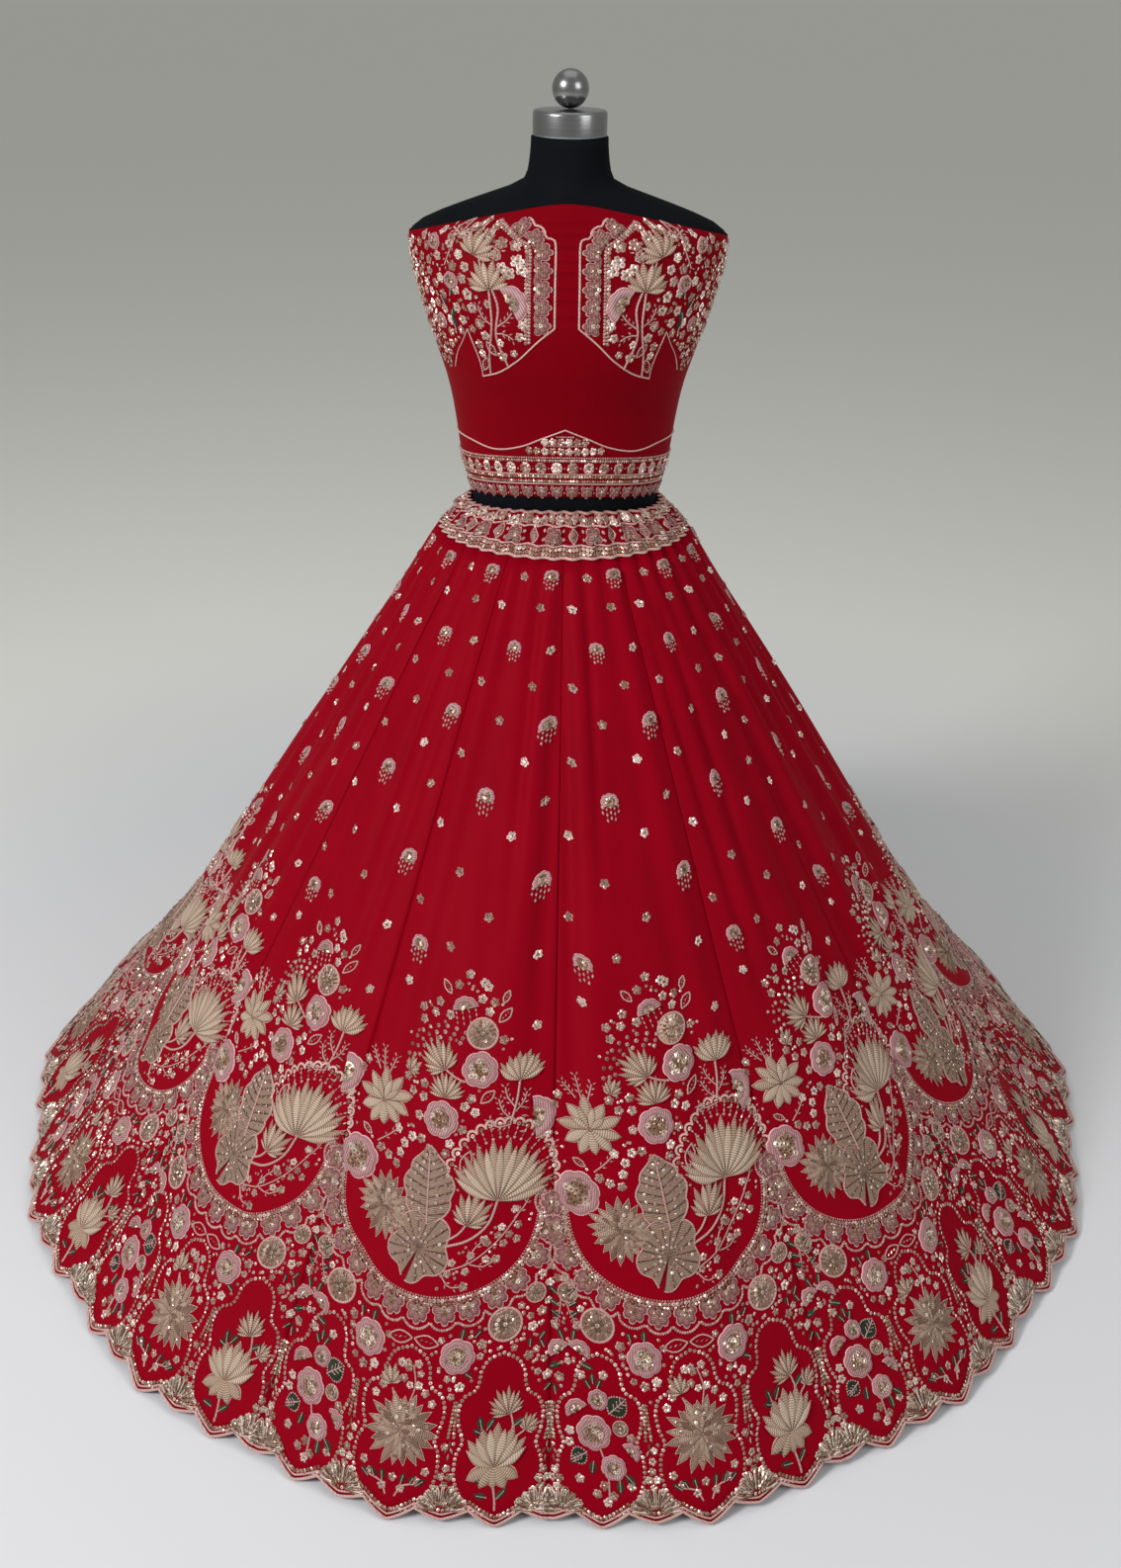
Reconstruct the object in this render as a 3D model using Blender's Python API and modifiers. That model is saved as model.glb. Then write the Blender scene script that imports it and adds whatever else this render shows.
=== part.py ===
# Lehenga choli standing on a limbless dress form.
# Metres, +Z up. The front faces -Y. The origin is on the floor, under the form's axis.
# Angles round the form start at the front and grow towards +X.

import math
from collections import namedtuple

import bmesh
import bpy
from mathutils import Vector

OBJECT_NAME = "lehenga_choli"

# Driving sizes of the cloth
CLOTH_WALL = 0.002
SEAM_GAP = 0.0003
SEAT_GAP = 0.0004

# Lehenga: fourteen flared panels, called kalis, with a seam at centre front
KALI_COUNT = 14
KALI_ANGLE = 2 * math.pi / KALI_COUNT
HEM_RADIUS_FRONT = 0.907
HEM_RADIUS_SIDE = 0.888
HEM_CLEARANCE = 0.002
SKIRT_TOP = 0.9945
SKIRT_TOP_RADIUS = 0.174
FRONT_FULLNESS = 0.015
SIDE_HOLLOW = 0.190
BELL_LOWERING = 1.7
WAIST_FLATTENING = 0.14
FLATTENING_START = 0.55
KALI_COLUMNS = 24
KALI_ROWS = (0.0, 0.055, 0.16, 0.33, 0.57, 0.965, 1.0)

# Gathers under the band, and the softer folds that they open into
GATHERS_PER_KALI = 3
GATHER_DEPTH = 0.007
GATHER_FADE = 0.16
FOLDS_PER_KALI = 2
FOLD_DEPTH = 0.009
FOLD_PEAK = 0.38
SWEEP_DEPTH = 0.014
FOLD_VARIATION = 0.35
SWEEP_START = 0.05

# Scalloped hem: three deep points on each kali, and shallow ones between them and at the seams
HEM_POINTS_PER_KALI = 3
SCALLOP_CUSP_LIFT = 0.0150
SHALLOW_SCALLOP_LIFT = 0.0060
SCALLOP_ROUNDNESS = 1.25

# Waistband
BAND_TOP_SIDE = 1.036
BAND_TOP_RISE = 0.0125
BAND_ROWS = 1
BAND_SEAM_GAP = 0.0006

# Choli
CHOLI_TOP_SIDE = 1.397
CHOLI_TOP_RISE = 0.044
CHOLI_BOTTOM_SIDE = 1.053
CHOLI_BOTTOM_RISE = 0.0144
CHOLI_WALL = 0.0015
CHOLI_COLUMNS = 20
CHOLI_ROWS = (0.0, 0.04, 0.09, 0.16, 0.25, 0.37, 0.51, 0.67, 0.84, 1.0)
CHOLI_SIDE_TRIM = 0.006

# Stand
FORM_SIDES = 2 * CHOLI_COLUMNS
NECK_ROWS = (1.5147, 1.480, 1.462)
SHOULDER_ROWS = (0.12, 0.3, 0.5, 0.75)
HIP_ROWS = (1.012, 0.985, 0.958, 0.93, 0.895, 0.860)
CAP_RADIUS = 0.048
CAP_BOTTOM = 1.515
CAP_TOP = 1.547
CAP_EDGE = 0.003
FINIAL_RADIUS = 0.0235
POLE_RADIUS = 0.016
BASE_RADIUS = 0.19
BASE_THICKNESS = 0.014
BASE_EDGE = 0.004
CAP_SIDES = 40
BASE_SIDES = 48
POLE_SIDES = 24
FINIAL_SIDES = 24
FINIAL_RINGS = 14
CORNER_STEPS = (0.0, 0.5, 1.0)

# Modelling tolerances
WELD_DISTANCE = 0.00001
SURFACE_STEP = 0.002

# Sections of the dress form, from the hips up to the neck
FormSection = namedtuple("FormSection", "height half_width front back")
FORM_SECTIONS = (
    FormSection(0.860, 0.1660, 0.1050, 0.1150),
    FormSection(0.930, 0.1700, 0.1110, 0.1220),
    FormSection(0.985, 0.1580, 0.1080, 0.1150),
    FormSection(1.036, 0.1310, 0.1000, 0.1000),
    FormSection(1.053, 0.1305, 0.0985, 0.0970),
    FormSection(1.080, 0.1390, 0.0990, 0.0950),
    FormSection(1.110, 0.1455, 0.1010, 0.0940),
    FormSection(1.144, 0.1500, 0.1045, 0.0950),
    FormSection(1.180, 0.1555, 0.1110, 0.0970),
    FormSection(1.210, 0.1620, 0.1200, 0.1000),
    FormSection(1.250, 0.1745, 0.1310, 0.1040),
    FormSection(1.285, 0.1855, 0.1345, 0.1070),
    FormSection(1.330, 0.1985, 0.1240, 0.1090),
    FormSection(1.365, 0.2070, 0.1110, 0.1070),
    FormSection(1.397, 0.2090, 0.0960, 0.1000),
    FormSection(1.410, 0.1960, 0.0900, 0.0960),
    FormSection(1.422, 0.1700, 0.0830, 0.0910),
    FormSection(1.441, 0.1160, 0.0700, 0.0780),
    FormSection(1.453, 0.0800, 0.0610, 0.0670),
    FormSection(1.462, 0.0600, 0.0550, 0.0590),
    FormSection(1.480, 0.0530, 0.0510, 0.0530),
    FormSection(1.5147, 0.0500, 0.0490, 0.0490),
)
HALF_WIDTH = FormSection._fields.index("half_width")
FRONT_DEPTH = FormSection._fields.index("front")
BACK_DEPTH = FormSection._fields.index("back")
FORM_BOTTOM = FORM_SECTIONS[0].height
FORM_TOP = FORM_SECTIONS[-1].height

Finish = namedtuple("Finish", "colour roughness metallic")
CRIMSON_SILK = Finish((0.30, 0.002, 0.014, 1.0), 0.55, 0.0)
GOLD_BAND = Finish((0.24, 0.06, 0.05, 1.0), 0.50, 0.1)
BLACK_JERSEY = Finish((0.012, 0.013, 0.018, 1.0), 0.85, 0.0)
POLISHED_STEEL = Finish((0.62, 0.62, 0.63, 1.0), 0.18, 1.0)
PAINTED_STEEL = Finish((0.03, 0.03, 0.032, 1.0), 0.45, 0.4)


def clear_scene():
    for old in list(bpy.data.objects):
        bpy.data.objects.remove(old, do_unlink=True)


def make_collection(name):
    collection = bpy.data.collections.new(name)
    bpy.context.scene.collection.children.link(collection)
    return collection


def make_material(name, finish):
    material = bpy.data.materials.new(name)
    material.use_nodes = True
    shader = material.node_tree.nodes["Principled BSDF"]
    shader.inputs["Base Color"].default_value = finish.colour
    shader.inputs["Roughness"].default_value = finish.roughness
    shader.inputs["Metallic"].default_value = finish.metallic
    return material


def add_object(name, mesh, finish, collection):
    piece = bpy.data.objects.new(name, mesh)
    collection.objects.link(piece)
    mesh.materials.append(make_material(name + "_finish", finish))
    mesh.shade_smooth()
    return piece


def smooth_step(value, start, end):
    fraction = min(1.0, max(0.0, (value - start) / (end - start)))
    return fraction * fraction * (3 - 2 * fraction)


def wave(fraction, count):
    # 0 at both ends of the width, so that seams stay in the valleys
    return (1 - math.cos(2 * math.pi * count * fraction)) / 2


# The dress form

def section_slope(rows, column, index):
    if index in (0, len(rows) - 1):
        return 0.0
    before = (rows[index][column] - rows[index - 1][column]) / (rows[index].height - rows[index - 1].height)
    after = (rows[index + 1][column] - rows[index][column]) / (rows[index + 1].height - rows[index].height)
    if before * after <= 0:
        return 0.0
    return 2 * before * after / (before + after)


def form_size(column, height):
    # a smooth curve through the sections that never swings past them
    rows = FORM_SECTIONS
    height = min(max(height, FORM_BOTTOM), FORM_TOP)
    index = max(i for i in range(len(rows) - 1) if rows[i].height <= height)
    span = rows[index + 1].height - rows[index].height
    u = (height - rows[index].height) / span
    start_slope = section_slope(rows, column, index) * span
    end_slope = section_slope(rows, column, index + 1) * span
    low = rows[index][column]
    high = rows[index + 1][column]
    curve = low * (2 * u**3 - 3 * u**2 + 1) + start_slope * (u**3 - 2 * u**2 + u)
    return curve + high * (3 * u**2 - 2 * u**3) + end_slope * (u**3 - u**2)


def form_point(angle, height):
    half_width = form_size(HALF_WIDTH, height)
    depth = form_size(FRONT_DEPTH if math.cos(angle) > 0 else BACK_DEPTH, height)
    return Vector((half_width * math.sin(angle), -depth * math.cos(angle), height))


def form_normal(angle, height):
    across = form_point(angle + SURFACE_STEP, height) - form_point(angle - SURFACE_STEP, height)
    up = form_point(angle, height + SURFACE_STEP) - form_point(angle, height - SURFACE_STEP)
    return across.cross(up).normalized()


def off_form(angle, height, distance):
    return form_point(angle, height) + form_normal(angle, height) * distance


def choli_height(angle, down):
    # both edges rise towards the middle of the front and back
    facing = math.cos(angle) ** 2
    top = CHOLI_TOP_SIDE + CHOLI_TOP_RISE * facing
    bottom = CHOLI_BOTTOM_SIDE + CHOLI_BOTTOM_RISE * facing
    return top + (bottom - top) * down


def band_top_height(angle):
    return BAND_TOP_SIDE + BAND_TOP_RISE * math.cos(angle) ** 2


def form_rows(angle):
    # the form's rows follow the edges of the cloth, so cloth and form stay parallel
    top = choli_height(angle, 0)
    rows = list(NECK_ROWS)
    rows += [NECK_ROWS[-1] + (top - NECK_ROWS[-1]) * step for step in SHOULDER_ROWS]
    rows += [choli_height(angle, down) for down in CHOLI_ROWS]
    rows.append(band_top_height(angle))
    return rows + list(HIP_ROWS)


# The skirt

def skirt_radius(angle, height):
    # a cone that is a little full in front and behind, and flares out like a bell at the sides
    sideways = math.sin(angle) ** 2
    hem_radius = HEM_RADIUS_FRONT + (HEM_RADIUS_SIDE - HEM_RADIUS_FRONT) * sideways
    cone = hem_radius - (hem_radius - SKIRT_TOP_RADIUS) * height / SKIRT_TOP
    hollow = SIDE_HOLLOW * sideways - FRONT_FULLNESS
    bell = height * (SKIRT_TOP - height) * (1 + BELL_LOWERING * (SKIRT_TOP / 2 - height))
    return cone - hollow * bell


def flattening(height):
    return 1 - WAIST_FLATTENING * smooth_step(height, FLATTENING_START, SKIRT_TOP)


def fold_weight(kali):
    # the same on both sides and in front and behind, so the hem stays centred
    centre = (kali + 0.5) * KALI_ANGLE
    return 1 + FOLD_VARIATION * math.cos(4 * centre)


def fold_height(kali, across, down):
    gathers = GATHER_DEPTH * math.exp(-down / GATHER_FADE) * wave(across, GATHERS_PER_KALI)
    opening = math.sin(math.pi * min(1.0, down / (2 * FOLD_PEAK)))
    folds = FOLD_DEPTH * fold_weight(kali) * opening * wave(across, FOLDS_PER_KALI)
    sweep = SWEEP_DEPTH * smooth_step(down, SWEEP_START, 1.0)
    return gathers + folds + sweep * (fold_weight(kali) * wave(across, 1) - 0.5)


def hem_lift(across):
    position = (across * HEM_POINTS_PER_KALI) % 1.0
    from_cusp = abs(position - 0.5) * 4
    if from_cusp <= 1:
        return SCALLOP_CUSP_LIFT * from_cusp**SCALLOP_ROUNDNESS
    shallow = (2 - from_cusp) ** SCALLOP_ROUNDNESS
    return SHALLOW_SCALLOP_LIFT + (SCALLOP_CUSP_LIFT - SHALLOW_SCALLOP_LIFT) * shallow


def skirt_point(kali, across, down):
    bottom = HEM_CLEARANCE + hem_lift(across)
    height = SKIRT_TOP + (bottom - SKIRT_TOP) * down
    centre = (kali + 0.5) * KALI_ANGLE
    trim = SEAM_GAP / skirt_radius(centre, height)
    angle = centre + (across - 0.5) * (KALI_ANGLE - trim)
    radius = skirt_radius(angle, height) + fold_height(kali, across, down)
    return Vector((radius * math.sin(angle), -radius * math.cos(angle) * flattening(height), height))


# Sheets: a grid, mapped onto its surface, with its faces out

def mapped_grid(columns, rows, place):
    grid = bmesh.new()
    bmesh.ops.create_grid(grid, x_segments=columns, y_segments=rows, size=0.5)
    for vertex in grid.verts:
        vertex.co = place(vertex.co.x + 0.5, 0.5 - vertex.co.y)
    return grid


def finish_mesh(name, grid):
    mesh = bpy.data.meshes.new(name)
    grid.to_mesh(mesh)
    grid.free()
    return mesh


def add_wall(piece, thickness):
    wall = piece.modifiers.new("cloth_wall", "SOLIDIFY")
    wall.thickness = thickness
    wall.offset = -1.0
    wall.use_rim = True


def weld_ring(grid):
    bmesh.ops.remove_doubles(grid, verts=grid.verts, dist=WELD_DISTANCE)


def build_torso(collection):
    row_count = len(form_rows(0.0)) - 1

    def place(across, down):
        angle = across * 2 * math.pi
        return form_point(angle, form_rows(angle)[round(down * row_count)])

    grid = mapped_grid(FORM_SIDES, row_count, place)
    weld_ring(grid)
    rims = [edge for edge in grid.edges if edge.is_boundary]
    bmesh.ops.holes_fill(grid, edges=rims, sides=0)
    bmesh.ops.recalc_face_normals(grid, faces=grid.faces)
    add_object("form_torso", finish_mesh("form_torso", grid), BLACK_JERSEY, collection)


def turned_piece(name, profile, finish, collection, sides):
    # the profile runs from top to bottom at +X, and starts and ends on the axis
    mesh = bpy.data.meshes.new(name)
    outline = bmesh.new()
    points = [outline.verts.new((radius, 0, height)) for radius, height in profile]
    for first, second in zip(points, points[1:]):
        outline.edges.new((first, second))
    outline.to_mesh(mesh)
    outline.free()
    piece = add_object(name, mesh, finish, collection)
    turn = piece.modifiers.new("turn", "SCREW")
    turn.angle = 2 * math.pi
    turn.steps = sides
    turn.render_steps = sides
    turn.use_merge_vertices = True
    turn.merge_threshold = WELD_DISTANCE
    return piece


def rounded_disc_profile(radius, bottom, top, edge):
    profile = [(0.0, top)]
    for step in CORNER_STEPS:
        turn = step * math.pi / 2
        profile.append((radius - edge + edge * math.sin(turn), top - edge + edge * math.cos(turn)))
    profile += [(radius, bottom), (0.0, bottom)]
    return profile


def build_neck_cap(collection):
    profile = rounded_disc_profile(CAP_RADIUS, CAP_BOTTOM, CAP_TOP, CAP_EDGE)
    turned_piece("form_neck_cap", profile, POLISHED_STEEL, collection, CAP_SIDES)


def build_finial(collection):
    ball = bmesh.new()
    bmesh.ops.create_uvsphere(
        ball, u_segments=FINIAL_SIDES, v_segments=FINIAL_RINGS, radius=FINIAL_RADIUS
    )
    lift = Vector((0, 0, CAP_TOP + SEAM_GAP + FINIAL_RADIUS))
    bmesh.ops.translate(ball, verts=ball.verts, vec=lift)
    add_object("form_finial", finish_mesh("form_finial", ball), POLISHED_STEEL, collection)


def build_base(collection):
    profile = rounded_disc_profile(BASE_RADIUS, 0.0, BASE_THICKNESS, BASE_EDGE)
    turned_piece("form_base", profile, PAINTED_STEEL, collection, BASE_SIDES)


def build_pole(collection):
    bottom = BASE_THICKNESS + SEAM_GAP
    top = FORM_BOTTOM - SEAM_GAP
    pole = bmesh.new()
    bmesh.ops.create_cone(
        pole, cap_ends=True, segments=POLE_SIDES, radius1=POLE_RADIUS, radius2=POLE_RADIUS, depth=top - bottom
    )
    bmesh.ops.translate(pole, verts=pole.verts, vec=Vector((0, 0, (top + bottom) / 2)))
    add_object("form_pole", finish_mesh("form_pole", pole), PAINTED_STEEL, collection)


def build_choli_panel(name, centre_angle, collection):
    row_count = len(CHOLI_ROWS) - 1

    def place(across, down):
        angle = centre_angle + (across - 0.5) * (math.pi - CHOLI_SIDE_TRIM)
        height = choli_height(angle, CHOLI_ROWS[round(down * row_count)])
        return off_form(angle, height, SEAT_GAP + CHOLI_WALL)

    grid = mapped_grid(CHOLI_COLUMNS, row_count, place)
    piece = add_object(name, finish_mesh(name, grid), CRIMSON_SILK, collection)
    add_wall(piece, CHOLI_WALL)


def band_point(across, down):
    kali_place = across * KALI_COUNT
    kali = min(KALI_COUNT - 1, int(kali_place))
    within = kali_place - kali
    angle = kali_place * KALI_ANGLE
    top = off_form(angle, band_top_height(angle), SEAT_GAP + CLOTH_WALL)
    outward = Vector((math.sin(angle), -math.cos(angle), 0))
    top += outward * GATHER_DEPTH * wave(within, GATHERS_PER_KALI)
    radius = SKIRT_TOP_RADIUS + fold_height(kali, within, 0)
    depth = radius * flattening(SKIRT_TOP)
    bottom = Vector((radius * math.sin(angle), -depth * math.cos(angle), SKIRT_TOP + BAND_SEAM_GAP))
    return top + (bottom - top) * down


def build_waistband(collection):
    grid = mapped_grid(KALI_COUNT * KALI_COLUMNS, BAND_ROWS, band_point)
    weld_ring(grid)
    piece = add_object("lehenga_waistband", finish_mesh("lehenga_waistband", grid), GOLD_BAND, collection)
    add_wall(piece, CLOTH_WALL)


def build_kali(kali, collection):
    row_count = len(KALI_ROWS) - 1

    def place(across, down):
        return skirt_point(kali, across, KALI_ROWS[round(down * row_count)])

    name = f"lehenga_kali_{kali + 1:02d}"
    grid = mapped_grid(KALI_COLUMNS, row_count, place)
    piece = add_object(name, finish_mesh(name, grid), CRIMSON_SILK, collection)
    add_wall(piece, CLOTH_WALL)


def build():
    clear_scene()
    collection = make_collection(OBJECT_NAME)
    build_torso(collection)
    build_neck_cap(collection)
    build_finial(collection)
    build_pole(collection)
    build_base(collection)
    build_choli_panel("choli_front", 0.0, collection)
    build_choli_panel("choli_back", math.pi, collection)
    build_waistband(collection)
    for kali in range(KALI_COUNT):
        build_kali(kali, collection)


build()
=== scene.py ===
# Looks of the lehenga choli: silk, embroidery, the form's cover and metal, the floor, light and camera.
# Metres, +Z up, the front faces -Y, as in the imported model.

import functools
import math
import random
from collections import namedtuple

import bmesh
import bpy
import numpy as np
from mathutils import Matrix, Vector


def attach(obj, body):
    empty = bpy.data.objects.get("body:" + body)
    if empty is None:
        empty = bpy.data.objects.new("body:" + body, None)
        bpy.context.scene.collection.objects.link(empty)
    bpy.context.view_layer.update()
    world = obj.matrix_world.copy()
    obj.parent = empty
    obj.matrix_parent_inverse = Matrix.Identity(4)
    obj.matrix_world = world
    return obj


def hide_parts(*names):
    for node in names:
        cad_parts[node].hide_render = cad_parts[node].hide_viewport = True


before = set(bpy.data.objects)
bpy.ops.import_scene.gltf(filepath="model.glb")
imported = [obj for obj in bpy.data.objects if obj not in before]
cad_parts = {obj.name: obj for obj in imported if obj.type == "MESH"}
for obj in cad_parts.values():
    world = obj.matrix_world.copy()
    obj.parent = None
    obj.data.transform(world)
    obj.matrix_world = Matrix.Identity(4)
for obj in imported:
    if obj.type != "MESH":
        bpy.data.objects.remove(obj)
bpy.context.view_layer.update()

MM = 0.001
PI = math.pi

# Sizes of the cloth, the same as in the part's source
CLOTH_WALL = 0.002
SEAM_GAP = 0.0003
SEAT_GAP = 0.0004
KALI_COUNT = 14
KALI_ANGLE = 2 * PI / KALI_COUNT
HEM_RADIUS_FRONT = 0.907
HEM_RADIUS_SIDE = 0.888
HEM_CLEARANCE = 0.002
SKIRT_TOP = 0.9945
SKIRT_TOP_RADIUS = 0.174
FRONT_FULLNESS = 0.015
SIDE_HOLLOW = 0.190
BELL_LOWERING = 1.7
WAIST_FLATTENING = 0.14
FLATTENING_START = 0.55
GATHERS_PER_KALI = 3
GATHER_DEPTH = 0.007
GATHER_FADE = 0.16
FOLDS_PER_KALI = 2
FOLD_DEPTH = 0.009
FOLD_PEAK = 0.38
SWEEP_DEPTH = 0.014
FOLD_VARIATION = 0.35
HEM_POINTS_PER_KALI = 3
SCALLOP_CUSP_LIFT = 0.0150
SHALLOW_SCALLOP_LIFT = 0.0060
SCALLOP_ROUNDNESS = 1.25
BAND_TOP_SIDE = 1.036
BAND_TOP_RISE = 0.0125
BAND_SEAM_GAP = 0.0006
CHOLI_TOP_SIDE = 1.397
CHOLI_TOP_RISE = 0.044
CHOLI_BOTTOM_SIDE = 1.053
CHOLI_BOTTOM_RISE = 0.0144
CHOLI_WALL = 0.0015
CHOLI_SIDE_TRIM = 0.006
CAP_RADIUS = 0.048
CAP_BOTTOM = 1.515
CAP_TOP = 1.547
FINIAL_RADIUS = 0.0235
POLE_RADIUS = 0.016
BASE_RADIUS = 0.19
BASE_THICKNESS = 0.014

# Sections of the dress form: height, half width, depth in front, depth behind
FORM_SECTIONS = np.array((
    (0.860, 0.1660, 0.1050, 0.1150),
    (0.930, 0.1700, 0.1110, 0.1220),
    (0.985, 0.1580, 0.1080, 0.1150),
    (1.036, 0.1310, 0.1000, 0.1000),
    (1.053, 0.1305, 0.0985, 0.0970),
    (1.080, 0.1390, 0.0990, 0.0950),
    (1.110, 0.1455, 0.1010, 0.0940),
    (1.144, 0.1500, 0.1045, 0.0950),
    (1.180, 0.1555, 0.1110, 0.0970),
    (1.210, 0.1620, 0.1200, 0.1000),
    (1.250, 0.1745, 0.1310, 0.1040),
    (1.285, 0.1855, 0.1345, 0.1070),
    (1.330, 0.1985, 0.1240, 0.1090),
    (1.365, 0.2070, 0.1110, 0.1070),
    (1.397, 0.2090, 0.0960, 0.1000),
    (1.410, 0.1960, 0.0900, 0.0960),
    (1.422, 0.1700, 0.0830, 0.0910),
    (1.441, 0.1160, 0.0700, 0.0780),
    (1.453, 0.0800, 0.0610, 0.0670),
    (1.462, 0.0600, 0.0550, 0.0590),
    (1.480, 0.0530, 0.0510, 0.0530),
    (1.5147, 0.0500, 0.0490, 0.0490),
))

# Flat pattern of one kali: x runs across it, v up it from the hem, both in metres
KALI_SLANT = math.hypot(HEM_RADIUS_FRONT - SKIRT_TOP_RADIUS, SKIRT_TOP - HEM_CLEARANCE)
RISE_PER_SLANT = (SKIRT_TOP - HEM_CLEARANCE) / KALI_SLANT
PATTERN_RADIUS = HEM_RADIUS_FRONT * KALI_SLANT / (HEM_RADIUS_FRONT - SKIRT_TOP_RADIUS)
PATTERN_ANGLE = KALI_ANGLE * HEM_RADIUS_FRONT / PATTERN_RADIUS

# Metres of cloth for each radian round the choli and the band
CHOLI_SPREAD = 0.17
BAND_SPREAD = 0.16
BAND_HEIGHT = 0.050

# Soft creases of each kali. Each goes from one place to another, given across and
# down the kali, with its width and height in millimetres. A height below 0 is a trough.
KALI_CREASES = (
    (
        (0.05, 0.05, 0.10, 0.62, 11, -3.0), (0.34, 0.02, 0.28, 0.40, 8, -2.6),
        (0.66, 0.04, 0.78, 0.88, 15, -3.4), (0.52, 0.30, 0.46, 0.72, 16, 2.2),
    ),
    (
        (0.17, 0.03, 0.24, 0.55, 10, -3.2), (0.49, 0.02, 0.41, 0.47, 9, -2.4),
        (0.83, 0.05, 0.70, 0.80, 17, -3.6), (0.60, 0.38, 0.66, 0.97, 18, 2.4),
    ),
    (
        (0.10, 0.04, 0.19, 0.75, 14, -3.5), (0.36, 0.02, 0.45, 0.34, 8, -2.2),
        (0.70, 0.03, 0.62, 0.66, 13, -3.1), (0.86, 0.25, 0.80, 0.86, 17, 2.6),
    ),
    (
        (0.22, 0.02, 0.15, 0.48, 10, -2.9), (0.50, 0.05, 0.57, 0.92, 18, -3.7),
        (0.80, 0.02, 0.88, 0.52, 10, -2.5), (0.36, 0.35, 0.33, 0.80, 16, 2.1),
    ),
    (
        (0.12, 0.03, 0.07, 0.66, 12, -3.0), (0.40, 0.02, 0.33, 0.83, 16, -3.3),
        (0.69, 0.04, 0.77, 0.41, 9, -2.4), (0.55, 0.28, 0.62, 0.90, 18, 2.5),
    ),
    (
        (0.20, 0.05, 0.31, 0.85, 16, -3.6), (0.52, 0.02, 0.55, 0.36, 8, -2.3),
        (0.84, 0.02, 0.75, 0.70, 13, -3.0), (0.10, 0.40, 0.14, 0.95, 17, 2.2),
    ),
    (
        (0.09, 0.02, 0.15, 0.44, 9, -2.5), (0.33, 0.04, 0.40, 0.77, 15, -3.4),
        (0.67, 0.03, 0.58, 0.58, 11, -2.8), (0.83, 0.30, 0.89, 0.92, 17, 2.4),
    ),
    (
        (0.16, 0.03, 0.09, 0.60, 12, -3.1), (0.47, 0.02, 0.53, 0.88, 17, -3.5),
        (0.81, 0.05, 0.72, 0.46, 9, -2.3), (0.30, 0.33, 0.25, 0.75, 16, 2.1),
    ),
    (
        (0.18, 0.02, 0.27, 0.39, 9, -2.4), (0.44, 0.04, 0.36, 0.69, 13, -3.2),
        (0.74, 0.02, 0.82, 0.90, 17, -3.6), (0.58, 0.36, 0.55, 0.82, 17, 2.5),
    ),
    (
        (0.11, 0.05, 0.20, 0.80, 15, -3.4), (0.38, 0.02, 0.34, 0.50, 10, -2.7),
        (0.71, 0.02, 0.64, 0.38, 8, -2.2), (0.85, 0.26, 0.78, 0.91, 18, 2.3),
    ),
    (
        (0.21, 0.03, 0.12, 0.72, 14, -3.3), (0.53, 0.04, 0.61, 0.57, 11, -2.9),
        (0.83, 0.02, 0.87, 0.84, 16, -3.4), (0.37, 0.30, 0.41, 0.94, 17, 2.4),
    ),
    (
        (0.14, 0.02, 0.18, 0.42, 9, -2.4), (0.35, 0.05, 0.26, 0.86, 17, -3.7),
        (0.68, 0.03, 0.74, 0.63, 12, -3.0), (0.52, 0.34, 0.48, 0.78, 16, 2.2),
    ),
    (
        (0.19, 0.04, 0.30, 0.78, 16, -3.5), (0.50, 0.02, 0.58, 0.45, 9, -2.4),
        (0.82, 0.03, 0.76, 0.59, 11, -2.9), (0.64, 0.42, 0.70, 0.95, 18, 2.3),
    ),
    (
        (0.32, 0.04, 0.21, 0.90, 16, -3.5), (0.64, 0.02, 0.70, 0.43, 9, -2.6),
        (0.94, 0.05, 0.88, 0.58, 11, -2.9), (0.47, 0.30, 0.53, 0.70, 16, 2.1),
    ),
)

CREASE_DEPTH = 3.0
CREASE_NARROWEST = 0.8

# Creases of the choli: angle and height at each end, width and height in millimetres
CHOLI_CREASES = (
    (-0.44, 1.421, 0.36, 1.424, 3.2, 3.1), (-0.30, 1.408, 0.42, 1.411, 3.0, 2.8),
    (-0.46, 1.394, 0.30, 1.397, 3.4, 3.4), (-0.28, 1.380, 0.44, 1.378, 3.1, 2.9),
    (-0.42, 1.365, 0.32, 1.368, 3.5, 3.2), (-0.30, 1.350, 0.40, 1.348, 3.2, 2.7),
    (-0.38, 1.334, 0.28, 1.336, 3.4, 2.5), (-0.24, 1.317, 0.36, 1.314, 3.3, 2.0),
    (-0.30, 1.300, 0.26, 1.302, 3.4, 1.4),
    (-0.95, 1.190, -0.30, 1.214, 9.0, -1.2), (0.34, 1.206, 1.02, 1.184, 9.0, -1.2),
    (-1.15, 1.150, -0.55, 1.168, 8.0, 0.9), (0.50, 1.172, 1.20, 1.152, 8.0, 0.9),
    (2.30, 1.340, 3.02, 1.322, 8.0, -1.0), (3.26, 1.300, 3.98, 1.330, 8.0, -1.0),
    (2.20, 1.160, 3.00, 1.184, 9.0, -1.1), (3.30, 1.190, 4.05, 1.158, 9.0, -1.1),
)

# Crumple of the band: depth in millimetres, turns round the waist and slant
BAND_CRUMPLE = ((1.9, 17, 5.0), (1.4, 31, -7.0), (1.1, 59, 9.0), (0.7, 97, -4.0))

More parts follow.
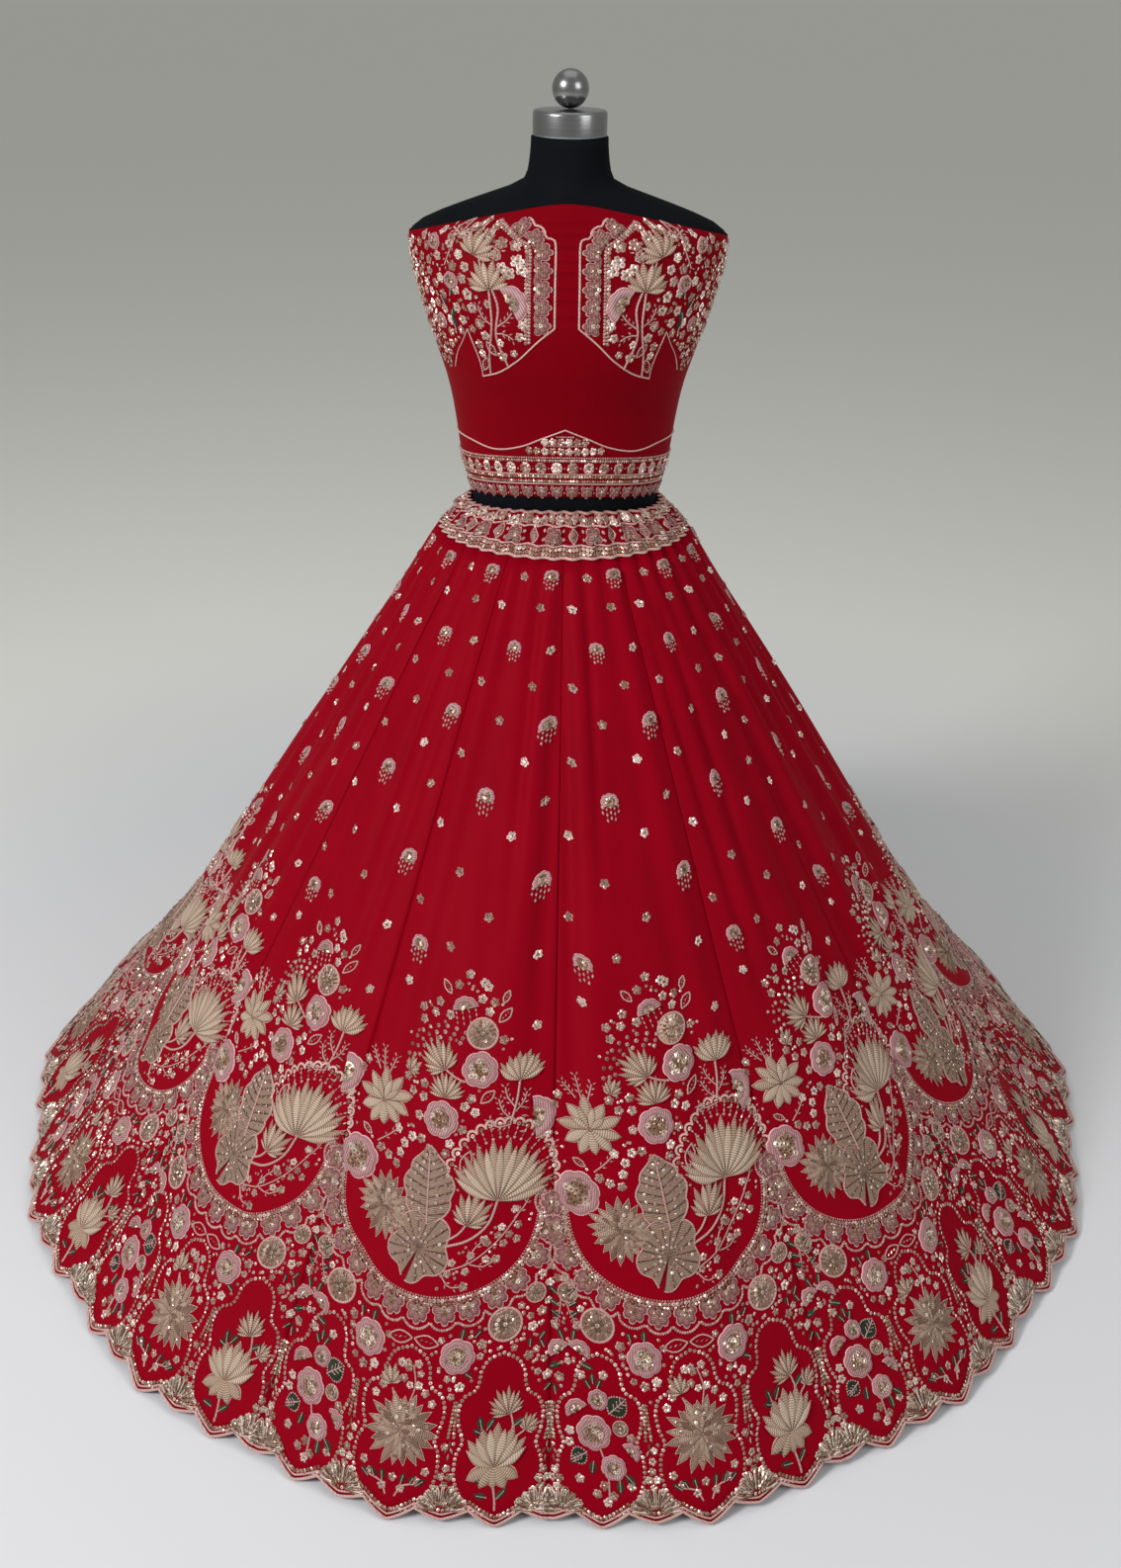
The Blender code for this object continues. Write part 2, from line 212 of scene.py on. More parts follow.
# Mesh sizes of the cloth
KALI_CLOTH_COLUMNS = 48
KALI_CLOTH_ROWS = 46
CHOLI_CLOTH_COLUMNS = 64
CHOLI_CLOTH_ROWS = (104, 50)
CHOLI_CROWDED_ROWS = 0.70
CHOLI_CROWDED_HEIGHT = 0.38
BAND_CLOTH_COLUMNS_PER_KALI = 24
BAND_CLOTH_ROWS = 8
FORM_COLUMNS = 96
FORM_ROWS = 64
SEAM_SINK = 0.0022
SEAM_SINK_WIDTH = 0.0045
CLOTH_THICKNESS = 0.0012
SURFACE_STEP = 0.002
WELD = 0.000001
MESH_WELD = 0.00001
SEAM_CROWDING = 0.055


# Surfaces

def smooth_step(value, start, end):
    fraction = np.clip((value - start) / (end - start), 0.0, 1.0)
    return fraction * fraction * (3 - 2 * fraction)


def wave(fraction, count):
    return (1 - np.cos(2 * PI * count * fraction)) / 2


def section_slopes(column):
    heights = FORM_SECTIONS[:, 0]
    steps = np.diff(FORM_SECTIONS[:, column]) / np.diff(heights)
    slopes = np.zeros(len(heights))
    product = steps[:-1] * steps[1:]
    total = np.where(product > 0, steps[:-1] + steps[1:], 1.0)
    slopes[1:-1] = np.where(product > 0, 2 * product / total, 0.0)
    return slopes


FORM_SLOPES = {column: section_slopes(column) for column in (1, 2, 3)}


def form_size(column, height):
    heights = FORM_SECTIONS[:, 0]
    height = np.clip(height, heights[0], heights[-1])
    index = np.clip(np.searchsorted(heights, height, side="right") - 1, 0, len(heights) - 2)
    span = heights[index + 1] - heights[index]
    u = (height - heights[index]) / span
    slopes = FORM_SLOPES[column]
    sizes = FORM_SECTIONS[:, column]
    low = sizes[index] * (2 * u**3 - 3 * u**2 + 1) + slopes[index] * span * (u**3 - 2 * u**2 + u)
    return low + sizes[index + 1] * (3 * u**2 - 2 * u**3) + slopes[index + 1] * span * (u**3 - u**2)


def form_point(angle, height):
    half_width = form_size(1, height)
    depth = np.where(np.cos(angle) > 0, form_size(2, height), form_size(3, height))
    return np.stack((half_width * np.sin(angle), -depth * np.cos(angle), height + 0 * angle), axis=-1)


def unit(vectors):
    return vectors / np.linalg.norm(vectors, axis=-1, keepdims=True)


def off_form(angle, height, distance):
    across = form_point(angle + SURFACE_STEP, height) - form_point(angle - SURFACE_STEP, height)
    up = form_point(angle, height + SURFACE_STEP) - form_point(angle, height - SURFACE_STEP)
    return form_point(angle, height) + unit(np.cross(across, up)) * np.asarray(distance)[..., None]


def choli_height(angle, down):
    facing = np.cos(angle) ** 2
    top = CHOLI_TOP_SIDE + CHOLI_TOP_RISE * facing
    bottom = CHOLI_BOTTOM_SIDE + CHOLI_BOTTOM_RISE * facing
    return top + (bottom - top) * down


def skirt_radius(angle, height):
    sideways = np.sin(angle) ** 2
    hem_radius = HEM_RADIUS_FRONT + (HEM_RADIUS_SIDE - HEM_RADIUS_FRONT) * sideways
    cone = hem_radius - (hem_radius - SKIRT_TOP_RADIUS) * height / SKIRT_TOP
    hollow = SIDE_HOLLOW * sideways - FRONT_FULLNESS
    bell = height * (SKIRT_TOP - height) * (1 + BELL_LOWERING * (SKIRT_TOP / 2 - height))
    return cone - hollow * bell


def flattening(height):
    return 1 - WAIST_FLATTENING * smooth_step(height, FLATTENING_START, SKIRT_TOP)


def fold_height(kali, across, down):
    weight = 1 + FOLD_VARIATION * np.cos(4 * (kali + 0.5) * KALI_ANGLE)
    gathers = GATHER_DEPTH * np.exp(-down / GATHER_FADE) * wave(across, GATHERS_PER_KALI)
    opening = np.sin(PI * np.clip(down / (2 * FOLD_PEAK), 0.0, 1.0))
    folds = FOLD_DEPTH * weight * opening * wave(across, FOLDS_PER_KALI)
    fade = smooth_step(down, 0.05, 1.0)
    return gathers + folds + SWEEP_DEPTH * fade * (weight * wave(across, 1) - 0.5)


def hem_lift(across):
    from_cusp = np.abs((across * HEM_POINTS_PER_KALI) % 1.0 - 0.5) * 4
    deep = SCALLOP_CUSP_LIFT * from_cusp**SCALLOP_ROUNDNESS
    inner = np.clip(2 - from_cusp, 0.0, None) ** SCALLOP_ROUNDNESS
    shallow = SHALLOW_SCALLOP_LIFT + (SCALLOP_CUSP_LIFT - SHALLOW_SCALLOP_LIFT) * inner
    return np.where(from_cusp <= 1, deep, shallow)


def crease_height(creases, sideways, along, metres_across):
    # one soft trough or ridge after another, fading out at both ends
    total = np.zeros(np.shape(sideways))
    for start_x, start_y, end_x, end_y, width, height in creases:
        fraction = np.clip((along - start_y) / (end_y - start_y), 0.0, 1.0)
        middle = start_x + (end_x - start_x) * fraction
        distance = (sideways - middle) * metres_across / (width * MM * (CREASE_NARROWEST + along))
        total += height * MM * np.exp(-distance**2) * np.sin(PI * fraction) ** 0.7
    return total


def skirt_surface(kali, across, down):
    bottom = HEM_CLEARANCE + hem_lift(across)
    height = SKIRT_TOP + (bottom - SKIRT_TOP) * down
    centre = (kali + 0.5) * KALI_ANGLE
    middle_radius = skirt_radius(centre, height)
    angle = centre + (across - 0.5) * (KALI_ANGLE - SEAM_GAP / middle_radius)
    radius = skirt_radius(angle, height) + fold_height(kali, across, down)
    width = KALI_ANGLE * middle_radius
    radius += CREASE_DEPTH * crease_height(KALI_CREASES[kali], across, down, width)
    edge = np.minimum(np.abs(across), np.abs(1 - across)) * width
    radius -= SEAM_SINK * np.exp(-((edge / SEAM_SINK_WIDTH) ** 2)) * smooth_step(down, 0.0, 0.08)
    return np.stack((radius * np.sin(angle), -radius * np.cos(angle) * flattening(height), height), axis=-1)


def kali_width(v):
    return (PATTERN_RADIUS - v) * PATTERN_ANGLE


def on_skirt(kali, flat):
    # flat places (x, v, height off the cloth) carried onto one kali
    x, v, lift = flat.T
    across = 0.5 + x / kali_width(v)
    height = HEM_CLEARANCE + v * RISE_PER_SLANT
    down = (SKIRT_TOP - height) / (SKIRT_TOP - HEM_CLEARANCE - hem_lift(across))
    here = skirt_surface(kali, across, down)
    side = skirt_surface(kali, across + SURFACE_STEP, down) - skirt_surface(kali, across - SURFACE_STEP, down)
    up = skirt_surface(kali, across, down - SURFACE_STEP) - skirt_surface(kali, across, down + SURFACE_STEP)
    return here + unit(np.cross(side, up)) * lift[:, None]


def choli_surface(angle, height, lift):
    creases = choli_crease_height(angle, height)
    return off_form(angle, height, SEAT_GAP + CHOLI_WALL + creases + lift)


def choli_crease_height(angle, height):
    total = np.zeros(np.shape(angle))
    for start_angle, start_height, end_angle, end_height, width, rise in CHOLI_CREASES:
        turned = np.where(angle < -PI / 2, angle + 2 * PI, angle) if start_angle > 2 else angle
        fraction = np.clip((turned - start_angle) / (end_angle - start_angle), 0.0, 1.0)
        middle = start_height + (end_height - start_height) * fraction
        total += rise * MM * np.exp(-(((height - middle) / (width * MM)) ** 2)) * np.sin(PI * fraction) ** 0.7
    return total


def on_choli(flat):
    x, height, lift = flat.T
    return choli_surface(x / CHOLI_SPREAD, height, lift)


def band_surface(angle, down, lift):
    kali_place = angle / KALI_ANGLE
    kali = np.floor(kali_place)
    within = kali_place - kali
    outward = np.stack((np.sin(angle), -np.cos(angle), 0 * angle), axis=-1)
    top = off_form(angle, BAND_TOP_SIDE + BAND_TOP_RISE * np.cos(angle) ** 2, SEAT_GAP + CLOTH_WALL)
    top = top + outward * (GATHER_DEPTH * wave(within, GATHERS_PER_KALI))[..., None]
    radius = SKIRT_TOP_RADIUS + fold_height(kali, within, 0 * within)
    depth = radius * flattening(SKIRT_TOP)
    seam = 0 * angle + SKIRT_TOP + BAND_SEAM_GAP
    bottom = np.stack((radius * np.sin(angle), -depth * np.cos(angle), seam), -1)
    fade = np.sin(PI * np.clip(down, 0, 1))
    crumple = 0
    for depth, turns, slant in BAND_CRUMPLE:
        crumple = crumple + depth * MM * np.sin(turns * angle + slant * down) * fade
    return top + (bottom - top) * np.asarray(down)[..., None] + outward * (crumple + lift)[..., None]


def on_band(flat):
    x, rise, lift = flat.T
    return band_surface(x / BAND_SPREAD, 1 - rise / BAND_HEIGHT, lift)


# Meshes

Patch = namedtuple("Patch", "points faces uv rim")


@functools.lru_cache(maxsize=None)
def plane_grid(columns, rows):
    grid = bmesh.new()
    bmesh.ops.create_grid(grid, x_segments=columns, y_segments=rows, size=0.5)
    bmesh.ops.triangulate(grid, faces=grid.faces)
    grid.verts.index_update()
    places = np.array([vertex.co[:2] for vertex in grid.verts]) + 0.5
    faces = np.array([[vertex.index for vertex in face.verts] for face in grid.faces])
    grid.free()
    return places, faces


def patch(columns, rows, shape):
    # shape gives x, y, height and nearness to the rim for each place on the grid
    places, faces = plane_grid(columns, rows)
    x, y, height, rim = shape(places[:, 0], places[:, 1])
    points = np.column_stack(np.broadcast_arrays(x, y, height)).astype(float)
    return welded(Patch(points, faces, points[:, :2].copy(), np.broadcast_to(rim, x.shape).astype(float)))


def welded(sewn):
    keys = np.round(sewn.points / WELD).astype(np.int64)
    _, first, back = np.unique(keys, axis=0, return_index=True, return_inverse=True)
    faces = back.reshape(-1)[sewn.faces]
    whole = (faces[:, 0] != faces[:, 1]) & (faces[:, 1] != faces[:, 2]) & (faces[:, 0] != faces[:, 2])
    return Patch(sewn.points[first], faces[whole], sewn.uv[first], sewn.rim[first])


def join_patches(parts):
    offset = 0
    faces = []
    for part in parts:
        faces.append(part.faces + offset)
        offset += len(part.points)
    return Patch(
        np.concatenate([part.points for part in parts]),
        np.concatenate(faces),
        np.concatenate([part.uv for part in parts]),
        np.concatenate([part.rim for part in parts]),
    )


def link_object(name, data):
    thing = bpy.data.objects.new(name, data)
    bpy.context.scene.collection.objects.link(thing)
    return thing


def mesh_from(name, shape):
    mesh = bpy.data.meshes.new(name)
    shape.to_mesh(mesh)
    shape.free()
    return mesh


def ride_piece(name, mesh, material, smooth=True):
    mesh.materials.append(material)
    if smooth:
        mesh.shade_smooth()
    piece = link_object(name, mesh)
    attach(piece, "root")
    return piece


def make_piece(name, sewn, tint, material, smooth):
    mesh = bpy.data.meshes.new(name)
    mesh.from_pydata(sewn.points.tolist(), [], sewn.faces.tolist())
    layer = mesh.uv_layers.new(name="pattern")
    layer.data.foreach_set("uv", sewn.uv[sewn.faces].ravel())
    for label, values in (("rim", sewn.rim), ("tint", tint)):
        attribute = mesh.attributes.new(label, "FLOAT", "POINT")
        attribute.data.foreach_set("value", np.ascontiguousarray(values, dtype=np.float32))
    return ride_piece(name, mesh, material, smooth)


def draped_grid(columns, rows, surface):
    # surface gives points and flat places for each place on the grid, with 0 down at the top
    grid = bmesh.new()
    bmesh.ops.create_grid(grid, x_segments=columns, y_segments=rows, size=0.5)
    grid.verts.index_update()
    places = np.array([vertex.co[:2] for vertex in grid.verts])
    points, flat = surface(places[:, 0] + 0.5, 0.5 - places[:, 1])
    for vertex in grid.verts:
        vertex.co = points[vertex.index]
    return grid, flat


def cloth_piece(name, columns, rows, surface, material, closed=False):
    grid, flat = draped_grid(columns, rows, surface)
    layer = grid.loops.layers.uv.new("pattern")
    for face in grid.faces:
        for loop in face.loops:
            loop[layer].uv = flat[loop.vert.index]
    if closed:
        bmesh.ops.remove_doubles(grid, verts=grid.verts, dist=MESH_WELD)
    piece = ride_piece(name, mesh_from(name, grid), material)
    wall = piece.modifiers.new("thickness", "SOLIDIFY")
    wall.thickness = CLOTH_THICKNESS
    wall.offset = -1.0
    wall.use_rim = True
    return piece


# Small shapes of the embroidery. Each is about 1 wide, 1 long and 1 high, lying on the cloth.

def petal_patch(columns, rows, fullness, roundness):
    def shape(u, w):
        side = 2 * u - 1
        half = 0.5 * np.sin(PI * w**fullness) ** roundness
        crown = (1 - side**2) ** 0.6 * np.sin(PI * w) ** 0.45
        return side * half, w, crown, np.maximum(side**2, (2 * w - 1) ** 8)

    return patch(columns, rows, shape)


def ring_patch(columns, rows, inner, lobes, depth, turn=2 * PI):
    # a padded ring with a scalloped edge, or a part of one
    def shape(u, w):
        angle = (u - 0.5) * turn
        lobe = np.abs(np.cos(lobes * angle / 2)) ** 0.7
        radius = inner + (1 - inner) * w * (1 - depth + depth * lobe)
        crown = np.sin(PI * np.clip(w, 0, 1)) ** 0.6
        return radius * np.sin(angle) / 2, radius * np.cos(angle) / 2, crown, w

    return patch(columns, rows, shape)


def disc_patch(columns, rows, heights, rims, turn=2 * PI):
    # a turned form read outwards: its heights and rims run from the middle to the edge
    steps = np.linspace(0, 1, len(heights))

    def shape(u, w):
        angle = (u - 0.5) * turn
        radius = w / 2
        height = np.interp(w, steps, heights)
        return radius * np.sin(angle), radius * np.cos(angle), height, np.interp(w, steps, rims)

    return patch(columns, rows, shape)


def shell_patch(lobes):
    # a scalloped fan that spreads from its foot, with a ridge to each lobe
    def shape(u, w):
        angle = (u - 0.5) * 2 * 1.85
        lobe = np.abs(np.sin(lobes * PI * u))
        radius = w * (0.80 + 0.20 * lobe**0.6) * (0.48 + 0.10 * np.cos(angle))
        crown = (0.40 + 0.60 * lobe) * (1 - 0.8 * w**5)
        return radius * np.sin(angle), radius * np.cos(angle) - 0.16, crown, w

    return patch(lobes * 4, 4, shape)


def lobed_reach(turn):
    # how far out the wavy edge of a broad leaf lies, by direction from its middle
    return 0.98 + 0.06 * np.cos(turn) - 0.20 * np.abs(np.cos(2.5 * turn + 0.5)) ** 3


def broad_leaf_patch(ribs):
    # a broad wavy leaf, notched at its stalk, with ridges running out to its edge. Its rim value is high
    #     # in the troughs between the ridges, where the thread's painted shadow colour goes.
    def shape(u, w):
        turn = (u - 0.5) * 2 * PI * 0.97
        ridge = np.abs(np.sin(ribs * PI * u))
        radius = w * lobed_reach(turn) / 2
        crown = (0.25 + 0.75 * ridge) * np.sin(PI * (0.12 + 0.80 * w)) ** 0.6
        return radius * np.sin(turn), radius * np.cos(turn), crown, 0.80 * (1 - ridge)

    return patch(ribs * 2, 4, shape)


def pointed_half(w):
    # half width of a pointed leaf with a wavy edge
    return 0.5 * np.sin(PI * w**0.62) ** 0.95 * (0.84 + 0.16 * np.abs(np.sin(3.5 * PI * w + 0.3)))


def pointed_leaf_patch(ribs):
    # a pointed leaf with ridges that slant up from its middle. Its rim value is high in the troughs
    #     # between the ridges, where the thread's painted shadow colour goes.
    def shape(u, w):
        side = 2 * u - 1
        ridge = np.abs(np.sin(ribs * PI * w))
        up = w + 0.13 * np.abs(side) * np.sin(PI * w)
        crown = (0.25 + 0.75 * ridge) * (1 - side**4) * np.minimum(1.0, 0.3 + 3 * np.abs(side))
        return side * pointed_half(w), up, crown, 0.80 * (1 - ridge)

    return patch(8, ribs * 2, shape)


PETAL = petal_patch(6, 7, 1.30, 0.95)
SLIM_PETAL = petal_patch(6, 8, 1.40, 1.10)
DART = petal_patch(2, 4, 1.3, 0.9)
DASH = petal_patch(2, 2, 1.0, 0.6)
LEAF = petal_patch(4, 6, 0.9, 0.85)
ROSE_RING = ring_patch(35, 4, 0.52, 7, 0.19)
INNER_RING = ring_patch(20, 3, 0.70, 5, 0.20)
HALF_RING = ring_patch(18, 4, 0.50, 9, 0.12, PI)
SPRAY_RING = ring_patch(24, 3, 0.50, 8, 0.20, PI * 1.45)
LOOP = ring_patch(8, 1, 0.62, 1, 0.0, PI * 1.1)
THIN_RING = ring_patch(24, 2, 0.86, 1, 0.0)
SEQUIN = disc_patch(6, 1, (1.0, 0.1), (0.0, 1.0))
CUPPED_SEQUIN = disc_patch(8, 2, (0.35, 1.0, 0.1), (0.0, 0.6, 1.0))
BEAD = disc_patch(5, 1, (1.0, 0.0), (0.0, 1.0))
CENTRE_DISC = disc_patch(14, 2, (1.0, 0.8, 0.0), (0.0, 0.5, 1.0))
HALF_DISC = disc_patch(10, 2, (1.0, 0.8, 0.0), (0.0, 0.5, 1.0), turn=PI)
SHELL = shell_patch(5)
BROAD_LEAF = broad_leaf_patch(17)
POINTED_LEAF = pointed_leaf_patch(9)

# Threads, by what each piece of embroidery is made of
IVORY = "ivory_petals"
ROSE = "rose_rings"
MAUVE = "mauve_shells"
GOLD = "gold_sequins"
ZARI = "zari_leaves"
BLUSH = "blush_sequins"
CORD = "blush_cord"
GREEN = "green_leaves"
FLAT_SHADED = (GOLD, BLUSH)
# Sequin tints are a random number to this power: few come near the foil's near-white colour, a painted glint.
GLINT_RARITY = 2.6
SMALL_SEQUIN = 0.0062
GOLDEN_ANGLE = 2.39996


class Design:
    """Embroidery laid out flat, before it is carried onto the cloth."""

    def __init__(self, seed):
        self.work = {}
        self.taken = []
        self.chance = random.Random(seed)

    def lay(self, thread, shape, x, y, turn, size, lift, tint=0.5, tilt=(0.0, 0.0)):
        width, length, height = size
        points = shape.points * (width, length, height)
        points[:, 2] += points[:, 0] * tilt[0] + points[:, 1] * tilt[1] + lift
        cosine = math.cos(turn)
        sine = math.sin(turn)
        moved = np.column_stack((
            x + points[:, 0] * cosine - points[:, 1] * sine,
            y + points[:, 0] * sine + points[:, 1] * cosine,
            points[:, 2],
        ))
        faces = shape.faces if width * length > 0 else shape.faces[:, ::-1]
        laid = Patch(moved, faces, shape.uv * (width, length), shape.rim)
        self.work.setdefault(thread, []).append((laid, np.full(len(moved), tint)))

    def keep_clear(self, x, y, radius):
        self.taken.append((x, y, radius))

    def is_free(self, x, y, radius):
        return all((x - a) ** 2 + (y - b) ** 2 > (radius + c) ** 2 for a, b, c in self.taken)


def heading(turn, length):
    # turn is measured from straight up the cloth, and grows to the left
    return -math.sin(turn) * length, math.cos(turn) * length


def flow(points, spacing):
    # evenly spaced places along a smooth line through the given ones
    points = np.asarray(points, dtype=float)
    if len(points) > 2:
        padded = np.vstack((2 * points[0] - points[1], points, 2 * points[-1] - points[-2]))
        t = np.linspace(0, 1, 13)[:, None]
        runs = []
        for a, b, c, d in zip(padded, padded[1:], padded[2:], padded[3:]):
            cubic = 3 * (b - c) + d - a
            square = 2 * a - 5 * b + 4 * c - d
            runs.append(0.5 * (2 * b + (c - a) * t + square * t**2 + cubic * t**3))
        points = np.vstack([run[:-1] for run in runs] + [points[-1:]])
    along = np.concatenate(([0.0], np.cumsum(np.hypot(*np.diff(points, axis=0).T))))
    count = max(2, int(round(along[-1] / spacing)) + 1)
    places = np.linspace(0, along[-1], count)
    return np.column_stack((np.interp(places, along, points[:, 0]), np.interp(places, along, points[:, 1])))


def stepped(x, y, turn, length):
    # the place that lies a step from (x, y)
    step_x, step_y = heading(turn, length)
    return x + step_x, y + step_y


def fan(count, spread, middle=0.0):
    # evenly spaced turns, to both sides of the middle one
    return [middle + (index / (count - 1) - 0.5) * spread for index in range(count)]


def shifted(x, points):
    return [(x + side, v) for side, v in points]


def directions(path):
    return unit(np.gradient(path, axis=0))


def stem(design, points, width=0.0022, spacing=0.008, lift=0.0004, tint=0.5):
    # a laid cord: a low ridge along a smooth line
    path = flow(points, spacing)
    ahead = directions(path)
    left = np.column_stack((-ahead[:, 1], ahead[:, 0]))
    last = len(path) - 1

    def shape(u, w):
        index = np.round(u * last).astype(int)
        side = w * 2 - 1
        places = path[index] + left[index] * (side * width / 2)[:, None]
        return places[:, 0], places[:, 1], (1 - np.abs(side)) * width * 0.8, np.abs(side)

    design.lay(CORD, patch(last, 2, shape), 0, 0, 0, (1, 1, 1), lift, tint)


def sequin(design, x, y, size=0.0046, thread=GOLD, lift=0.0006):
    chance = design.chance
    tilt = (chance.uniform(-0.28, 0.28), chance.uniform(-0.28, 0.28))
    # the tint is how far the sequin is painted towards its foil's near-white colour, a painted glint
    tint = chance.random() ** GLINT_RARITY
    turn = chance.uniform(0, PI)
    shape = CUPPED_SEQUIN if size > SMALL_SEQUIN else SEQUIN
    design.lay(thread, shape, x, y, turn, (size, size, size * 0.30), lift, tint, tilt)


def blush_sequin(design, x, y, size, lift=0.0006):
    sequin(design, x, y, size, BLUSH, lift)


def bead(design, x, y, size=0.0026, thread=CORD):
    tint = design.chance.random()
    design.lay(thread, BEAD, x, y, design.chance.uniform(0, PI), (size, size, size * 0.7), 0.0004, tint)


def dash(design, x, y, turn, length=0.006, width=0.0022, thread=BLUSH, lift=0.0005):
    tint = design.chance.random() ** 2
    foot = stepped(x, y, turn, -length / 2)
    design.lay(thread, DASH, *foot, turn, (width, length, width * 0.8), lift, tint)


def sequin_line(design, points, spacing=0.0046, size=0.0046, thread=GOLD):
    for x, y in flow(points, spacing):
        sequin(design, x, y, size, thread)
        design.keep_clear(x, y, size)


def bead_line(design, points, spacing=0.0034, size=0.0030):
    for x, y in flow(points, spacing):
        bead(design, x, y, size)
        design.keep_clear(x, y, size)


def floret(design, x, y, size=0.014, petals=5, thread=BLUSH):
    # sequins set in a ring round a bead
    chance = design.chance
    turn = chance.uniform(0, 2 * PI)
    shade = chance.random() ** 2
    wide = size * 0.44
    for index in range(petals):
        tilt = (chance.uniform(-0.25, 0.25), chance.uniform(-0.25, 0.25))
        tint = min(1.0, max(0.0, shade + chance.uniform(-0.25, 0.35)))
        place = stepped(x, y, turn + index * 2 * PI / petals, size * 0.29)
        design.lay(thread, BEAD, *place, index, (wide, wide, wide * 0.32), 0.0005, tint, tilt)
    sequin(design, x, y, size * 0.30, lift=0.0012)
    design.keep_clear(x, y, size * 0.5)


def bent(shape, bend):
    # the same shape, curving aside towards its tip
    points = shape.points.copy()
    points[:, 0] += bend * points[:, 1] ** 2
    return shape._replace(points=points)


# Share of its spacing that a lotus petal fills, and how far it curls
SMALL_LOTUS_WIDTH = 0.060
SMALL_LOTUS_PETALS = (0.35, 0.30)
LARGE_LOTUS_PETALS = (0.56, 0.90)


def lotus(design, x, y, turn, width, height, count=7, tint=0.5, spread=1.45):
    # a lotus seen from the side: a full fan of petals, with the tips of more between them.
    #     # The fan behind is painted darker than the one in front, as painted shade.
    spacing = 2 * spread / (count - 1)
    share, curl = LARGE_LOTUS_PETALS if width > SMALL_LOTUS_WIDTH else SMALL_LOTUS_PETALS
    for scale, petals, lift, shade in ((1.0, count - 1, 0.0006, -0.40), (0.88, count, 0.0026, 0.15)):
        for index in range(petals):
            angle = (index - (petals - 1) / 2) * spacing
            length = scale * math.hypot(height * math.cos(angle), width / 2 * math.sin(angle))
            broad = spacing * share * length
            design.lay(
                IVORY, bent(SLIM_PETAL, angle * curl), x, y, turn + angle, (broad, length, broad * 0.26),
                lift, tint + shade + design.chance.uniform(-0.2, 0.2),
            )
    design.keep_clear(*stepped(x, y, turn, height * 0.45), max(width, height) * 0.46)


def open_lotus(design, x, y, turn, size):
    # a lotus seen from the front: broad petals all round, longer above than below
    outer = (
        (0.0, 1.0), (0.66, 0.92), (-0.64, 0.92), (1.30, 1.0), (-1.28, 1.0), (1.94, 0.90), (-1.90, 0.90),
        (2.56, 0.84), (-2.50, 0.84), (3.14, 0.74),
    )
    inner = ((0.33, 0.66), (-0.33, 0.66), (0.98, 0.56), (-0.96, 0.56))
    for petals, broad, lift in ((outer, 0.195, 0.0006), (inner, 0.140, 0.0028)):
        for angle, scale in petals:
            size_here = (size * broad, size * 0.53 * scale, size * 0.05)
            tint = 0.5 + design.chance.uniform(-0.25, 0.2)
            design.lay(IVORY, PETAL, x, y, turn + angle, size_here, lift, tint)
    design.keep_clear(x, y, size * 0.48)


def sequin_heap(design, x, y, radius, count):
    # sequins heaped by the golden angle, so that they lie evenly
    for index in range(count):
        angle = index * GOLDEN_ANGLE + design.chance.uniform(-0.2, 0.2)
        place = stepped(x, y, angle, radius * math.sqrt((index + 0.5) / count))
        sequin(design, *place, radius * 0.68, lift=0.0018)


def rose(design, x, y, size, tint=0.5):
    turn = design.chance.uniform(0, 2 * PI)
    design.lay(ROSE, ROSE_RING, x, y, turn, (size, size, 0.0034), 0.0005, tint)
    if size > 0.030:
        design.lay(ROSE, INNER_RING, x, y, turn + 1, (size * 0.66, size * 0.66, 0.0030), 0.0012, tint + 0.3)
    design.lay(GOLD, CENTRE_DISC, x, y, 0, (size * 0.56, size * 0.56, 0.0018), 0.0010, 0.0)
    sequin_heap(design, x, y, size * 0.29, 15 if size > 0.03 else 8)
    design.keep_clear(x, y, size * 0.5)


def half_rose(design, x, y, turn, width, tint=0.5, strands=0):
    # a rose cut in half: the round side looks along turn, and bead strands hang from the flat side
    design.lay(ROSE, HALF_RING, x, y, turn, (width, width, 0.0034), 0.0005, tint)
    design.lay(GOLD, HALF_DISC, x, y, turn, (width * 0.56, width * 0.56, 0.0024), 0.0008, 0.15)
    for index in range(9):
        place = stepped(x, y, turn + (index - 4) * 0.33, width * 0.17 * (0.6 + 0.5 * (index % 2)))
        sequin(design, *place, width * 0.13, lift=0.0016)
    for index in range(strands):
        from_middle = index - (strands - 1) / 2
        length = width * (0.55 - 0.18 * abs(from_middle) / (strands - 1))
        start = stepped(x, y, turn - PI / 2, from_middle * width / strands)
        for step in range(3):
            down = stepped(*start, turn + PI, length * (0.2 + 0.4 * step))
            dash(design, *down, turn, length * 0.34, 0.0022, CORD)
    design.keep_clear(*stepped(x, y, turn, width * 0.2), width * 0.42)


ROSETTE_SEQUINS = 12


def rosette(design, x, y, size, spokes=18):
    design.lay(CORD, THIN_RING, x, y, 0, (size, size, 0.0022), 0.0004, 0.6)
    design.lay(GOLD, CENTRE_DISC, x, y, 0, (size * 0.86, size * 0.86, 0.0008), 0.0003, 0.1)
    for index in range(spokes):
        turn = index * 2 * PI / spokes
        dash(design, *stepped(x, y, turn, size * 0.35), turn, size * 0.20, size * 0.085, BLUSH, 0.0010)
        if index % 2 == 0:
            dash(design, *stepped(x, y, turn, size * 0.16), turn, size * 0.16, size * 0.07, GOLD, 0.0012)
    for index in range(ROSETTE_SEQUINS):
        place = stepped(x, y, index * 2 * PI / ROSETTE_SEQUINS, size * 0.25)
        sequin(design, *place, size * 0.11, lift=0.0016)
    sequin(design, x, y, size * 0.14, lift=0.0014)
    design.keep_clear(x, y, size * 0.5)


# Rings of a chrysanthemum's petals: count, reach and width as shares of its size, height off the cloth
CHRYSANTHEMUM_RINGS = (
    (19, 0.50, 0.125, 0.0005), (16, 0.38, 0.110, 0.0016), (12, 0.26, 0.095, 0.0027),
    (7, 0.15, 0.080, 0.0038),
)


